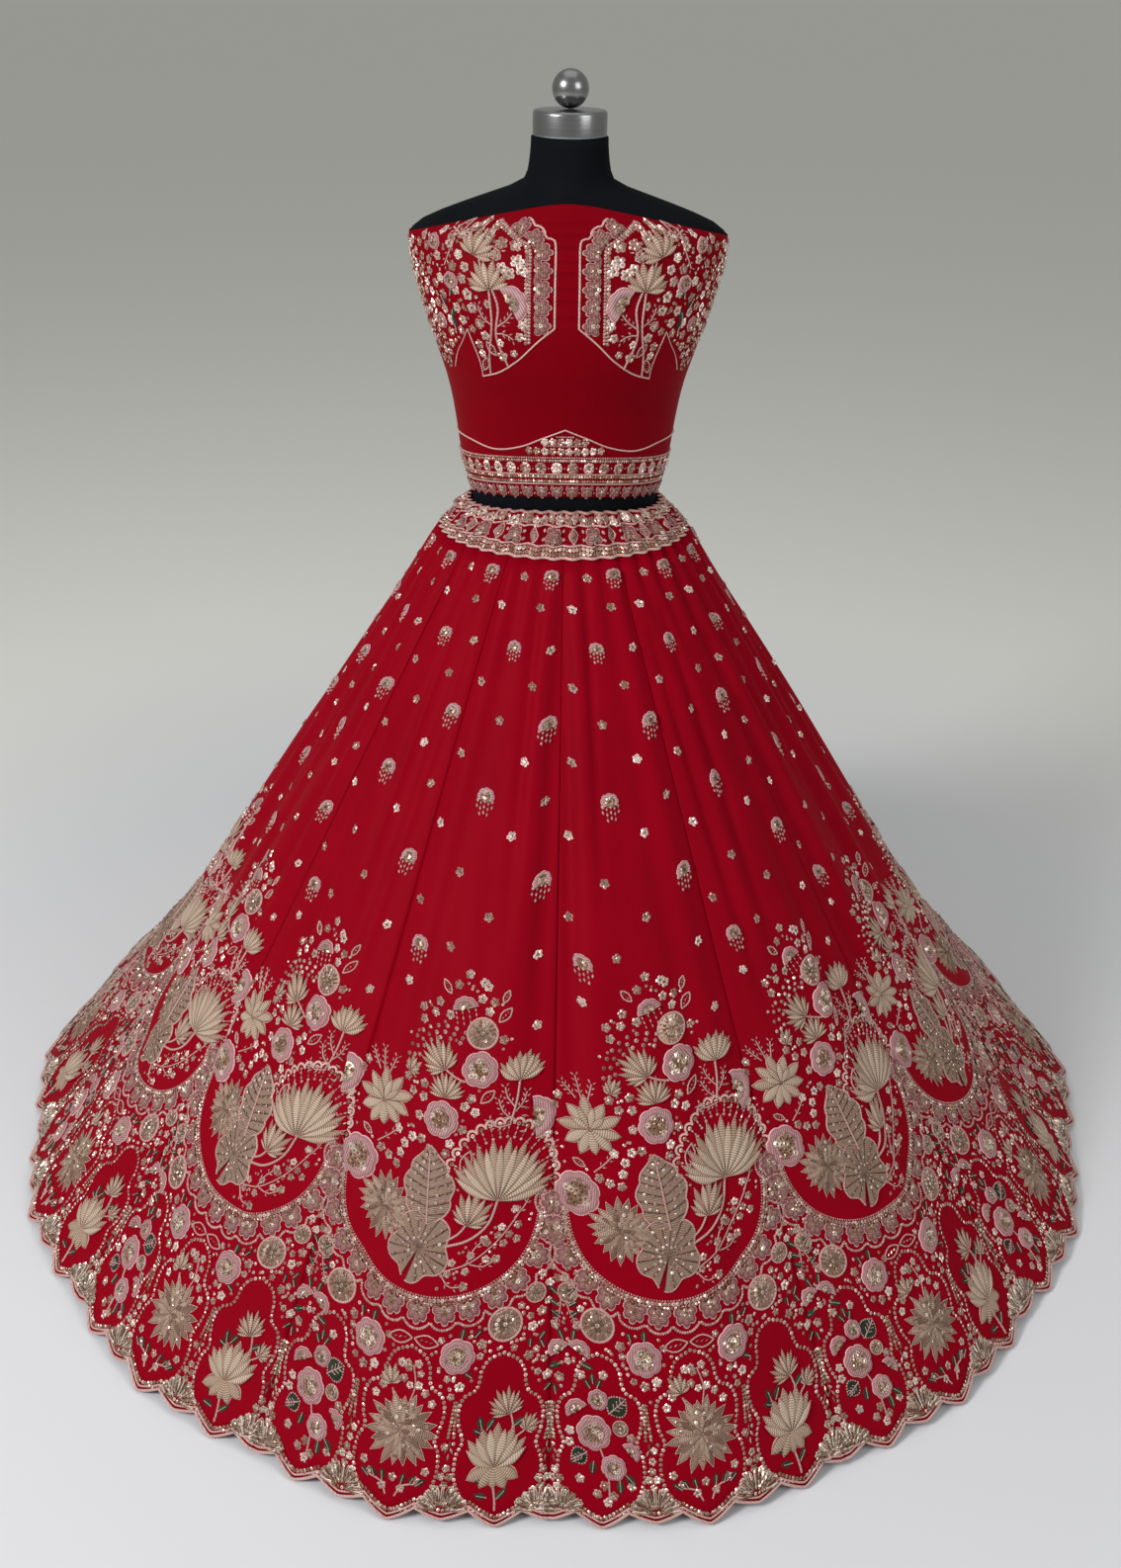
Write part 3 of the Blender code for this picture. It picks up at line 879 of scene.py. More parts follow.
def chrysanthemum(design, x, y, size):
    chance = design.chance
    for petals, reach, broad, rise in CHRYSANTHEMUM_RINGS:
        for index in range(petals):
            turn = (index + rise * 300) * 2 * PI / petals + chance.uniform(-0.05, 0.05)
            length = size * reach * chance.uniform(0.86, 1.05)
            tint = 0.45 + chance.uniform(-0.4, 0.5)
            design.lay(ZARI, DART, x, y, turn, (size * broad, length, 0.0030), rise, tint)
            if index % 3 == 0:
                sequin(design, *stepped(x, y, turn, length * 0.72), 0.0048, lift=rise + 0.0026)
    sequin_heap(design, x, y, size * 0.07, 5)
    design.keep_clear(x, y, size * 0.5)


def turned(x, y, turn, points):
    # places round (x, y), turned with the shape that they belong to
    cosine = math.cos(turn)
    sine = math.sin(turn)
    return [(x + a * cosine - b * sine, y + a * sine + b * cosine) for a, b in points]


def broad_leaf(design, x, y, turn, width, length):
    def at(angle, reach):
        reach *= lobed_reach(angle)
        return width * reach * math.sin(angle), length * reach * math.cos(angle)

    design.lay(ZARI, BROAD_LEAF, x, y, turn, (width, length, 0.0036), 0.0005, 0.45)
    edge = [at(angle, 0.51) for angle in np.linspace(-PI, PI, 61) * 0.97]
    stem(design, turned(x, y, turn, edge), 0.0026, 0.005)
    for angle in np.linspace(-2.7, 2.7, 13):
        for share, size in ((0.16, 0.0038), (0.27, 0.0046), (0.39, 0.0042)):
            place = at(angle, share + design.chance.uniform(-0.03, 0.03))
            blush_sequin(design, *turned(x, y, turn, [place])[0], size, 0.0038)
    design.keep_clear(x, y, max(width, length) * 0.44)


def pointed_leaf(design, x, y, turn, width, length):
    # the leaf's foot is at (x, y)
    design.lay(ZARI, POINTED_LEAF, x, y, turn, (width, length, 0.0036), 0.0005, 0.5)
    for side in (-1, 1):
        edge = [
            (side * width * pointed_half(w) * 1.02, length * (w + 0.13 * math.sin(PI * w)))
            for w in np.linspace(0.0, 1.0, 21)
        ]
        stem(design, turned(x, y, turn, edge), 0.0026, 0.006)
    stem(design, turned(x, y, turn, ((0.0, 0.0), (0.0, length * 0.95))), 0.0024, 0.010, 0.0022)
    for up in np.linspace(0.14, 0.84, 8):
        for share in (-0.72, -0.38, 0.38, 0.72):
            side = share * width * pointed_half(up) + design.chance.uniform(-0.001, 0.001)
            place = (side, (up + 0.12 * abs(share)) * length)
            blush_sequin(design, *turned(x, y, turn, [place])[0], 0.0043, 0.0038)
    design.keep_clear(*stepped(x, y, turn, length * 0.45), length * 0.42)


def green_leaf(design, x, y, turn, length=0.020, width=0.010):
    design.lay(GREEN, LEAF, x, y, turn, (width, length, 0.0018), 0.0005, design.chance.random())
    stem(design, ((x, y), stepped(x, y, turn, length * 0.8)), 0.0012, 0.02, 0.0020)
    design.keep_clear(*stepped(x, y, turn, length / 2), length * 0.38)


def round_leaf(design, x, y, turn, size):
    # a broad green leaf with a beaded edge and veins
    design.lay(GREEN, LEAF, x, y, turn, (size * 0.95, size, 0.0022), 0.0006, design.chance.random())
    for side in (-1, 1):
        edge = [
            (side * 0.475 * size * math.sin(PI * w**0.9) ** 0.85, w * size) for w in np.linspace(0.0, 1.0, 7)
        ]
        bead_line(design, turned(x, y, turn, edge), 0.0034, 0.0028)
        for place in (0.3, 0.5, 0.7):
            base = stepped(x, y, turn, size * place)
            stem(design, (base, stepped(*base, turn - side * 0.9, size * 0.26)), 0.0014, 0.02, 0.0022)
    stem(design, ((x, y), stepped(x, y, turn, size * 0.95)), 0.0016, 0.01, 0.0024)
    design.keep_clear(*stepped(x, y, turn, size * 0.475), size * 0.5)


def outline_leaf(design, x, y, turn, length):
    # a leaf drawn in cord, filled with a few dashes
    for side in (-1, 1):
        edge = [(side * 0.24 * length * math.sin(PI * w), w * length) for w in np.linspace(0.0, 1.0, 6)]
        stem(design, turned(x, y, turn, edge), 0.0020, 0.006)
    for place in (0.3, 0.5, 0.7):
        dash(design, *stepped(x, y, turn, length * place), turn + 0.5, length * 0.16)
    design.keep_clear(*stepped(x, y, turn, length / 2), length * 0.36)


def shell(design, x, y, turn, size):
    design.lay(MAUVE, SHELL, x, y, turn, (size, size * 1.25, 0.0032), 0.0005)
    foot = ((0.0, 0.02), (-0.16, -0.12), (0.16, -0.12), (0.0, -0.20), (-0.11, 0.05), (0.11, 0.05))
    scales = (0.24, 0.19, 0.19, 0.21, 0.13, 0.13)
    for place, scale in zip(turned(x, y, turn, np.array(foot) * size), scales):
        sequin(design, *place, size * scale, lift=0.0028)
    design.keep_clear(x, y, size * 0.5)


def sew_stalk(design, points, spacing):
    # sews a fine stem and gives places along it, each with its turn
    stem(design, points, 0.0018)
    path = flow(points, spacing)
    turns = [math.atan2(-ahead_x, ahead_y) for ahead_x, ahead_y in directions(path)]
    return [(x, y, turn) for (x, y), turn in zip(path, turns)]


def sprig(design, points, ends=True, spacing=0.011):
    # a fine stem with slanted dashes in pairs and a floret at its tip
    places = sew_stalk(design, points, spacing)
    for x, y, turn in places[1:-1] if ends else places[1:]:
        for side in (-1, 1):
            dash(design, *stepped(x, y, turn + side * 0.9, 0.0042), turn + side * 0.7, 0.0058, 0.0020, CORD)
        design.keep_clear(x, y, 0.006)
    if ends:
        floret(design, *places[-1][:2], 0.013)


def flower_sprig(design, points, spacing=0.017, size=0.012):
    # a stem with florets on both sides
    side = 1
    for x, y, turn in sew_stalk(design, points, spacing)[1:]:
        floret(design, *stepped(x, y, turn + side * 1.1, size * 0.8), size)
        side = -side


def scatter(design, inside, low, high, *rounds):
    # fills what is still free. Each round gives its tries, the room it needs, a stitch and its size.
    for count, radius, sew, *size in rounds:
        for _ in range(count):
            x = design.chance.uniform(low[0], high[0])
            y = design.chance.uniform(low[1], high[1])
            if inside(x, y) and design.is_free(x, y, radius):
                sew(design, x, y, *size)


def carry(design, prefix, place, copies=(0,)):
    # carries the flat work onto the cloth, once for each copy, and joins it by thread
    for thread, laid in design.work.items():
        flat = join_patches([sewn for sewn, _ in laid])
        tint = np.clip(np.concatenate([tints for _, tints in laid]), 0.0, 1.0)
        spread = [flat._replace(points=place(copy, flat.points)) for copy in copies]
        piece = make_piece(
            f"{prefix}_{thread}", join_patches(spread), np.tile(tint, len(spread)), THREADS[thread],
            smooth=thread not in FLAT_SHADED,
        )


# Embroidery of one kali

SWAG_TIP = 0.412
SWAG_DROP = 0.142
SWAG_HALF = 0.455
SWAG_BORDER_SIDE = 0.036
SWAG_BORDER_BELOW = 0.044
SWAG_SHELLS = 15
MEDALLION_PLACES = (1 / 6, 1 / 2, 5 / 6)
MEDALLION_TOP = 0.212
# Half of a medallion's outline, from the hem up: half width and height up the cloth
MEDALLION_OUTLINE = (
    (0.004, 0.014), (0.026, 0.018), (0.044, 0.034), (0.054, 0.060), (0.053, 0.086), (0.046, 0.103),
    (0.051, 0.120), (0.053, 0.140), (0.047, 0.157), (0.034, 0.165), (0.029, 0.176), (0.027, 0.190),
    (0.018, 0.204), (0.000, 0.212),
)


def across_at(place, v):
    return (place - 0.5) * kali_width(v)


def sew_each(design, sew, x, places, *common):
    # the same stitch at each place, given from x, with what else it needs
    for side, v, *rest in places:
        sew(design, x + side, v, *rest, *common)


def sew_all(design, x, rows):
    # each row gives a stitch, its place from x and what else it needs
    for sew, side, v, *rest in rows:
        sew(design, x + side, v, *rest)


def swag_line(offset=0.0):
    places = []
    for turn in np.linspace(0, PI, 61):
        v = SWAG_TIP - SWAG_DROP * math.sin(turn) ** 0.85
        places.append((-SWAG_HALF * math.cos(turn) * kali_width(v), v))
    path = flow(places, 0.004)
    ahead = directions(path)
    return path + np.column_stack((ahead[:, 1], -ahead[:, 0])) * np.reshape(offset, (-1, 1))


def sew_swag(design):
    inner = swag_line()
    sequin_line(design, inner, 0.0054, 0.0058, BLUSH)
    sequin_line(design, swag_line(0.0048), 0.0046, 0.0042)
    bead_line(design, swag_line(-0.0040), 0.0036, 0.0026)
    ahead = directions(inner)
    for index in range(SWAG_SHELLS):
        spot = int(round((index + 0.5) / SWAG_SHELLS * (len(inner) - 1)))
        turn = math.atan2(-ahead[spot][0], ahead[spot][1]) - PI / 2
        shell(design, *stepped(*inner[spot], turn, 0.0150), turn, 0.0320)
    count = len(inner)
    lobes = np.abs(np.sin(SWAG_SHELLS * PI * np.arange(count) / (count - 1))) ** 0.55
    bead_line(design, swag_line(0.0250 + 0.0115 * lobes), 0.0033, 0.0040)


def below_swag(x, v):
    # True for a place between the swag's outer edge and the medallions
    if abs(x) > kali_width(v) / 2 - 0.004:
        return False
    fraction = min(1.0, abs(x) / (SWAG_HALF * kali_width(v) + SWAG_BORDER_SIDE))
    if v > SWAG_TIP - (SWAG_DROP + SWAG_BORDER_BELOW) * math.sqrt(1 - fraction**2):
        return False
    return not any(in_medallion(x - across_at(place, v), v, 0.006) for place in MEDALLION_PLACES)


def in_medallion(x, v, margin):
    widths, heights = zip(*MEDALLION_OUTLINE)
    return v <= MEDALLION_TOP + margin and abs(x) < np.interp(v, heights, widths) + margin


def sew_medallion_outline(design, place):
    for side in (-1, 1):
        line = [(across_at(place, v) + side * half, v) for half, v in MEDALLION_OUTLINE]
        sequin_line(design, line, 0.0062, 0.0050, BLUSH)


def sew_rose_medallion(design, x):
    stem(design, shifted(x, ((0.004, 0.030), (0.006, 0.070), (-0.004, 0.110))))
    sew_all(design, x, (
        (rose, -0.006, 0.116, 0.044), (rose, 0.014, 0.074, 0.032, 0.8),
        (half_rose, 0.036, 0.092, -0.9, 0.026), (half_rose, -0.024, 0.142, 0.5, 0.030, 0.4),
        (rose, 0.004, 0.156, 0.026, 0.4), (rosette, 0.028, 0.122, 0.020, 12),
        (round_leaf, 0.016, 0.140, -0.9, 0.028), (round_leaf, -0.018, 0.092, 2.0, 0.022),
    ))
    low_leaves = ((-0.024, 0.086, 2.0), (-0.010, 0.082, 2.9), (0.028, 0.066, -2.4), (0.020, 0.060, 3.1))
    sew_each(design, green_leaf, x, low_leaves, 0.018, 0.009)
    top_leaves = ((-0.004, 0.170, 0.5), (0.004, 0.170, -0.5), (0.0, 0.176, 0.0))
    sew_each(design, green_leaf, x, top_leaves, 0.013, 0.007)
    sew_each(design, floret, x, (
        (-0.036, 0.118), (-0.038, 0.104), (0.000, 0.052), (-0.010, 0.042), (0.010, 0.040), (0.002, 0.032),
        (-0.030, 0.060), (0.034, 0.052), (0.014, 0.186), (-0.014, 0.186), (0.040, 0.110),
    ), 0.0125)


def sew_star_medallion(design, x):
    chrysanthemum(design, x + 0.002, 0.110, 0.096)
    lotus(design, x - 0.018, 0.162, 0.3, 0.030, 0.026, 5)
    stem(design, shifted(x, ((-0.006, 0.126), (-0.012, 0.144), (-0.017, 0.157))))
    flower_sprig(design, shifted(x, ((0.008, 0.146), (0.012, 0.166), (0.006, 0.190))), 0.013, 0.010)
    for side in (-1, 1):
        stem(design, shifted(x, ((side * 0.006, 0.030), (side * 0.014, 0.044), (side * 0.030, 0.048))))
        for step, turn in ((0.012, 0.2), (0.022, 0.5), (0.031, 0.9)):
            green_leaf(design, x + side * step, 0.046, -side * turn, 0.014, 0.007)
    sew_each(design, floret, x, (
        (0.0, 0.052), (-0.012, 0.040), (0.012, 0.040), (-0.040, 0.064), (0.040, 0.064), (-0.030, 0.052),
        (0.030, 0.052), (0.036, 0.146), (-0.038, 0.146), (0.026, 0.158), (0.016, 0.166), (-0.004, 0.172),
        (0.000, 0.186), (-0.030, 0.158), (-0.010, 0.190), (0.012, 0.192),
    ), 0.0115)


DROOPING_PETALS = ((-2.05, 0.036), (2.10, 0.038), (-2.62, 0.034), (2.66, 0.033), (PI + 0.05, 0.030))


def sew_lotus_medallion(design, x):
    stem(design, shifted(x, ((0.006, 0.020), (0.004, 0.034), (-0.002, 0.056), (-0.004, 0.066))), 0.0028)
    for angle, length in DROOPING_PETALS:
        design.lay(IVORY, PETAL, x - 0.002, 0.076, angle, (length * 0.50, length, 0.0036), 0.0006, 0.2)
    lotus(design, x - 0.002, 0.073, 0.05, 0.092, 0.054, 6, 0.55, 1.40)
    design.keep_clear(x - 0.002, 0.082, 0.042)
    stem(design, shifted(x, ((0.012, 0.108), (0.014, 0.124), (0.008, 0.140))), 0.0024)
    lotus(design, x + 0.006, 0.137, 0.35, 0.044, 0.036)
    stem(design, shifted(x, ((0.016, 0.108), (0.026, 0.114), (0.032, 0.122))), 0.0022)
    lotus(design, x + 0.030, 0.118, -0.5, 0.024, 0.024, 6)
    sew_each(design, green_leaf, x, (
        (-0.020, 0.112, 1.2), (-0.024, 0.118, 0.3), (-0.018, 0.118, -0.5), (0.014, 0.122, -0.9),
        (-0.014, 0.052, 0.9), (-0.006, 0.036, 1.4), (0.006, 0.034, -0.7),
    ), 0.017, 0.0085)


def sew_hem_fan(design, x):
    # gold fan between two medallions, with a stalk of sequins above it
    for lift, count, reach in ((0.0006, 7, 0.013), (0.0009, 11, 0.022), (0.0012, 13, 0.030)):
        for angle in fan(count, 2.9):
            place = stepped(x, 0.018, angle, reach * 0.45)
            size = (0.0046, reach * 0.62, 0.0022)
            design.lay(GOLD, DART, *place, angle, size, lift, design.chance.random())
    sew_each(design, floret, x, (
        (0.0, 0.050), (-0.010, 0.045), (0.010, 0.045), (-0.005, 0.060), (0.005, 0.060), (0.0, 0.070),
        (-0.018, 0.038), (0.018, 0.038), (-0.026, 0.030), (0.026, 0.030),
    ), 0.0105, 5, GOLD)
    stalk = ((0.0, 0.084, 0.0), (-0.003, 0.092, -0.5), (0.003, 0.092, 0.5), (0.0, 0.100, 0.0))
    sew_each(design, dash, x, stalk, 0.009, 0.003, GOLD)
    for side in (-0.0035, 0.0035):
        line = ((side, 0.108), (side * 0.6, 0.128), (side * 0.4, 0.150))
        sequin_line(design, shifted(x, line), 0.0048, 0.0042)
    design.keep_clear(x, 0.045, 0.026)


def sew_hem_edge(design):
    def line(rise):
        places = []
        for across in np.linspace(0, 1, 97):
            v = float(hem_lift(across)) / RISE_PER_SLANT + rise
            places.append((across_at(across, v), v))
        return places

    stem(design, line(0.0014), 0.0034, 0.0042, tint=0.75)
    stem(design, line(0.0072), 0.0024, 0.0042, tint=0.75)
    sequin_line(design, line(0.0122), 0.0056, 0.0046)


def sew_seam_tip(design):
    # at the seam where two swags meet: a shell between florets, over sprigs, leaves and half roses
    x = across_at(0.0, 0.37) + 0.002
    for side in (-1, 1):
        for offset, v in ((0.010, 0.318), (0.004, 0.304), (0.014, 0.298), (0.022, 0.310)):
            floret(design, x + side * offset, v, 0.011)
        sprig(design, shifted(x, ((side * 0.002, 0.284), (side * 0.006, 0.264), (side * 0.014, 0.246))))
        for v, turn in ((0.284, 0.9), (0.270, 1.1), (0.256, 1.0)):
            green_leaf(design, x + side * 0.006, v, -side * turn, 0.014, 0.008)
        half_rose(design, x + side * 0.012, 0.214, -side * 0.6, 0.030)
        green_leaf(design, x + side * 0.012, 0.200, -side * 2.0, 0.018, 0.008)
        green_leaf(design, x + side * 0.006, 0.228, -side * 0.3, 0.015, 0.007)
        dash(design, x + side * 0.004, 0.420, side * 0.5, 0.010)
    shell(design, x, 0.352, PI, 0.024)
    sew_each(design, floret, x, ((0.0, 0.378, 0.012), (0.0, 0.396, 0.010), (0.0, 0.330, 0.012)))
    dash(design, x, 0.412, 0.0, 0.010)


# Where small florets fill the ground over the swag: middle across, middle up and radius
FLORET_PATCHES = (
    (-0.030, 0.612, 0.034), (-0.046, 0.580, 0.026), (-0.052, 0.545, 0.022), (-0.046, 0.506, 0.022),
    (-0.050, 0.474, 0.022), (-0.044, 0.446, 0.020), (-0.020, 0.452, 0.024), (0.014, 0.462, 0.022),
    (0.030, 0.486, 0.020), (0.026, 0.520, 0.022), (0.046, 0.548, 0.018), (0.054, 0.600, 0.020),
    (0.046, 0.640, 0.020), (0.004, 0.664, 0.022), (-0.126, 0.452, 0.018), (-0.118, 0.436, 0.018),
    (-0.140, 0.476, 0.014), (-0.078, 0.432, 0.020), (-0.100, 0.544, 0.018), (-0.128, 0.530, 0.016),
)
# The same along the trailing sprigs inside it
SPRIG_PATCHES = (
    (0.026, 0.312, 0.014), (0.044, 0.318, 0.018), (0.062, 0.328, 0.019), (0.080, 0.342, 0.020),
    (0.096, 0.360, 0.019), (0.110, 0.382, 0.017), (0.118, 0.404, 0.013), (0.030, 0.294, 0.014),
)


def in_patches(patches):
    return lambda x, v: any((x - a) ** 2 + (v - b) ** 2 < radius**2 for a, b, radius in patches)


def sew_upper_border(design):
    # the tall bunch at the left of each kali, over the swag
    open_lotus(design, -0.092, 0.494, 0.10, 0.082)
    for side, v in ((-0.122, 0.550), (-0.104, 0.558), (-0.084, 0.552)):
        sprig(design, ((-0.096 + (side + 0.096) * 0.4, 0.530), (side, v)), ends=False, spacing=0.007)
    sew_all(design, 0.0, (
        (lotus, -0.062, 0.540, -0.4, 0.022, 0.024, 5), (rose, -0.118, 0.412, 0.058),
        (rose, -0.008, 0.496, 0.048, 0.6), (rose, 0.033, 0.566, 0.048, 0.4),
        (lotus, -0.006, 0.524, 0.1, 0.052, 0.036), (lotus, -0.012, 0.558, 0.70, 0.050, 0.046),
    ))
    for ring, count in ((0.048, 9), (0.056, 10), (0.041, 7)):
        for angle in fan(count, 2.1, 0.70):
            place = stepped(-0.012, 0.558, angle, ring)
            bead(design, *place, 0.0062, BLUSH)
            design.keep_clear(*place, 0.003)
    stem(design, ((0.016, 0.548), (0.004, 0.552), (-0.011, 0.559)), 0.0026)
    rosette(design, 0.029, 0.612, 0.042)
    half_rose(design, 0.002, 0.640, 0.30, 0.034, 0.4, 4)
    lotus(design, 0.085, 0.556, -0.03, 0.068, 0.038)
    stem(design, ((0.085, 0.556), (0.085, 0.530), (0.081, 0.500)), 0.0028)
    half_rose(design, 0.110, 0.506, -1.35, 0.056, 0.6)
    for index in range(4):
        dash(design, 0.098, 0.490 + index * 0.010, 1.35, 0.010, 0.0030, GOLD, 0.0016)
    for path in (
        ((0.084, 0.506), (0.070, 0.516), (0.062, 0.532)), ((0.084, 0.522), (0.072, 0.536), (0.068, 0.548)),
        ((0.082, 0.500), (0.064, 0.496), (0.054, 0.504)), ((0.085, 0.516), (0.094, 0.528), (0.096, 0.540)),
    ):
        sprig(design, path, ends=False, spacing=0.007)
    sew_each(design, outline_leaf, 0.0, (
        (0.040, 0.524, -0.7, 0.024), (0.036, 0.462, 2.9, 0.030), (0.048, 0.630, -0.6, 0.024),
        (-0.020, 0.655, 0.7, 0.020), (-0.104, 0.446, 1.0, 0.018), (0.050, 0.655, -0.3, 0.018),
    ))
    sprig(design, ((-0.094, 0.440), (-0.078, 0.452), (-0.066, 0.464)))
    sprig(design, ((-0.140, 0.440), (-0.144, 0.456), (-0.140, 0.474)), ends=False, spacing=0.008)
    ground = in_patches(FLORET_PATCHES)
    rounds = ((900, 0.0062, floret, 0.0130), (500, 0.0028, blush_sequin, 0.0042))
    scatter(design, ground, (-0.15, 0.42), (0.08, 0.69), *rounds)


def sew_arch(design, x, v, width, height, loops):
    # over the large lotus: loops of cord, with strokes and beads under them
    for angle in fan(loops, 3.05):
        across = math.sin(angle)
        up = math.cos(angle)
        spot = (x - across * width / 2, v + up * height)
        design.lay(CORD, LOOP, *spot, angle, (0.0150, 0.0170, 0.0024), 0.0006, 0.8)
        sequin(design, *spot, 0.0056)
        for inward, thread in ((0.0055, CORD), (0.0125, BLUSH)):
            dash(design, *stepped(*spot, angle, -inward), angle, 0.0062, 0.0028, thread, 0.0008)
        bead(design, *stepped(*spot, angle, -0.0175), 0.0042)
        design.keep_clear(*spot, 0.008)


def sew_swag_bowl(design):
    # inside the swag: chrysanthemum, ribbed leaves, lotuses on stems and trailing sprigs
    chrysanthemum(design, -0.068, 0.366, 0.088)
    pointed_leaf(design, -0.006, 0.362, 0.10, 0.068, 0.098)
    broad_leaf(design, -0.012, 0.330, -0.35, 0.084, 0.094)
    stem(design, ((0.080, 0.404), (0.072, 0.372), (0.050, 0.350), (0.020, 0.338)), 0.0032)
    stem(design, ((0.044, 0.368), (0.036, 0.356), (0.022, 0.346)), 0.0028)
    lotus(design, 0.046, 0.368, -0.20, 0.044, 0.048, 6)
    lotus(design, 0.080, 0.402, -0.05, 0.140, 0.082, 10)
    sew_arch(design, 0.080, 0.408, 0.140, 0.094, 19)
    flower_sprig(design, ((0.020, 0.306), (0.056, 0.322), (0.086, 0.350), (0.108, 0.384)), 0.013, 0.011)
    for path in (
        ((0.022, 0.304), (0.034, 0.290), (0.052, 0.292)), ((0.056, 0.320), (0.074, 0.318), (0.088, 0.328)),
        ((0.052, 0.320), (0.058, 0.338), (0.070, 0.352)), ((0.104, 0.380), (0.116, 0.398), (0.122, 0.420)),
    ):
        sprig(design, path)
    ground = in_patches(SPRIG_PATCHES)
    rounds = ((260, 0.0056, floret, 0.0110), (200, 0.0026, blush_sequin, 0.0040))
    scatter(design, ground, (0.01, 0.27), (0.13, 0.42), *rounds)


def sew_across(design, sew, places, *common):
    # the same stitch at each place, given as a share of the kali's width and a height
    for place, v, *rest in places:
        sew(design, across_at(place, v), v, *rest, *common)


def sew_between(design):
    # between the swag and the medallions: roses, rosettes and leaves, then florets in what is left
    sew_seam_tip(design)
    sew_across(design, rosette, ((0.170, 0.247), (0.830, 0.247)), 0.044)
    for place in (1 / 3, 2 / 3):
        x = across_at(place, 0.206)
        rose(design, x, 0.206, 0.045)
        green_leaf(design, x + 0.002, 0.227, -0.1, 0.015, 0.008)
    sew_across(design, outline_leaf, ((0.405, 0.218, -1.45), (0.595, 0.218, 1.45)), 0.032)
    sew_across(design, rosette, ((0.060, 0.286), (0.940, 0.286)), 0.026, 14)
    sew_across(design, floret, ((0.25, 0.222), (0.75, 0.222)), 0.014)
    rounds = (
        (420, 0.0068, floret, 0.0135), (300, 0.0058, small_green), (1500, 0.0046, floret, 0.0100),
        (2600, 0.0024, blush_sequin, 0.0046),
    )
    scatter(design, below_swag, (-0.2, 0.02), (0.2, 0.37), *rounds)


def small_green(design, x, v):
    green_leaf(design, x, v - 0.005, design.chance.uniform(-1.2, 1.2), 0.012, 0.0065)


# Sprays over the plain silk, from the waist down: share of the kali's width, height and size
LARGE_SPRAYS = (
    (0.82, 1.212, 0.019), (0.42, 1.107, 0.019), (0.88, 1.005, 0.0235), (0.40, 0.905, 0.0235),
    (0.89, 0.805, 0.0235), (0.15, 0.705, 0.0235),
)
# Florets between them, by share of the width and height
SMALL_SPRAYS = (
    (0.38, 1.208), (0.13, 1.165), (0.69, 1.165), (0.87, 1.107), (0.12, 1.055), (0.69, 1.055), (0.40, 1.005),
    (0.10, 0.955), (0.69, 0.955), (0.885, 0.905), (0.07, 0.860), (0.65, 0.860), (0.31, 0.805), (0.07, 0.758),
    (0.565, 0.758), (0.35, 0.712), (0.885, 0.712), (0.62, 0.672), (0.14, 0.655), (0.90, 0.622),
)


def spray(design, x, v, size):
    # a small half rose with strands of beads below it
    design.lay(ROSE, SPRAY_RING, x, v, 0, (size * 1.05, size, 0.0028), 0.0005, 0.9)
    design.lay(GOLD, CENTRE_DISC, x, v, 0, (size * 0.70, size * 0.62, 0.0018), 0.0006, 0.05)
    for index in range(5):
        sequin(design, *stepped(x, v, (index - 2) * 0.6, size * 0.2), size * 0.22, lift=0.0016)
    for index in range(5):
        side = (index - 2) * size * 0.23
        for step in range(2 if index in (0, 4) else 3):
            drop = size * (0.26 + 0.30 * step + 0.10 * (index % 2))
            dash(design, x + side, v - drop, (index - 2) * -0.12, size * 0.25, 0.0032, CORD)
    design.keep_clear(x, v, size * 0.8)


def sew_sprays(design):
    sew_across(design, spray, LARGE_SPRAYS)
    sew_across(design, floret, SMALL_SPRAYS, 0.0135)


def kali_design():
    design = Design(7)
    sew_hem_edge(design)
    sew_swag(design)
    for place in MEDALLION_PLACES:
        sew_medallion_outline(design, place)
    for sew, place in zip((sew_rose_medallion, sew_star_medallion, sew_lotus_medallion), MEDALLION_PLACES):
        sew(design, across_at(place, 0.10))
    for place in (0.025, 1 / 3, 2 / 3, 0.975):
        sew_hem_fan(design, across_at(place, 0.05))
    sew_swag_bowl(design)
    sew_upper_border(design)
    sew_between(design)
    sew_sprays(design)
    return design


# Embroidery of the choli, laid out for the wearer's right half and mirrored for the other

BELT_SHELLS = 42
BACK_FLORETS = 17
BAND_MOTIFS = 36
BAND_FLORETS = 84
YOKE_LINE = (
    (0.0155, 1.300), (0.0155, 1.350), (0.0155, 1.394), (0.0195, 1.402), (0.028, 1.404), (0.0295, 1.411),
    (0.0355, 1.416), (0.042, 1.417), (0.045, 1.422), (0.050, 1.4245),
)
YOKE_LOWER_LINE = ((0.0155, 1.300), (0.038, 1.282), (0.062, 1.258), (0.086, 1.240), (0.108, 1.231))
YOKE_DART = ((0.108, 1.231), (0.112, 1.252), (0.128, 1.292))
SIDE_DART = ((0.128, 1.292), (0.1345, 1.275), (0.142, 1.258), (0.146, 1.236))
BELT_LINE = ((0.0, 1.163), (0.030, 1.150), (0.060, 1.136), (0.095, 1.128), (0.130, 1.134), (0.160, 1.136))


def half_width(height):
    return float(form_size(1, np.array(height)))


def choli_x(x, height):
    # a place seen from the front, carried round the form
    return math.asin(max(-1.0, min(1.0, x / half_width(height)))) * CHOLI_SPREAD


def seen_x(x, height):
    # and back again
    return math.sin(x / CHOLI_SPREAD) * half_width(height)


def choli_edge(x, down):
    return float(choli_height(np.array(x / CHOLI_SPREAD), np.array(down)))


def carried(points):
    return [(choli_x(x, z), z) for x, z in points]


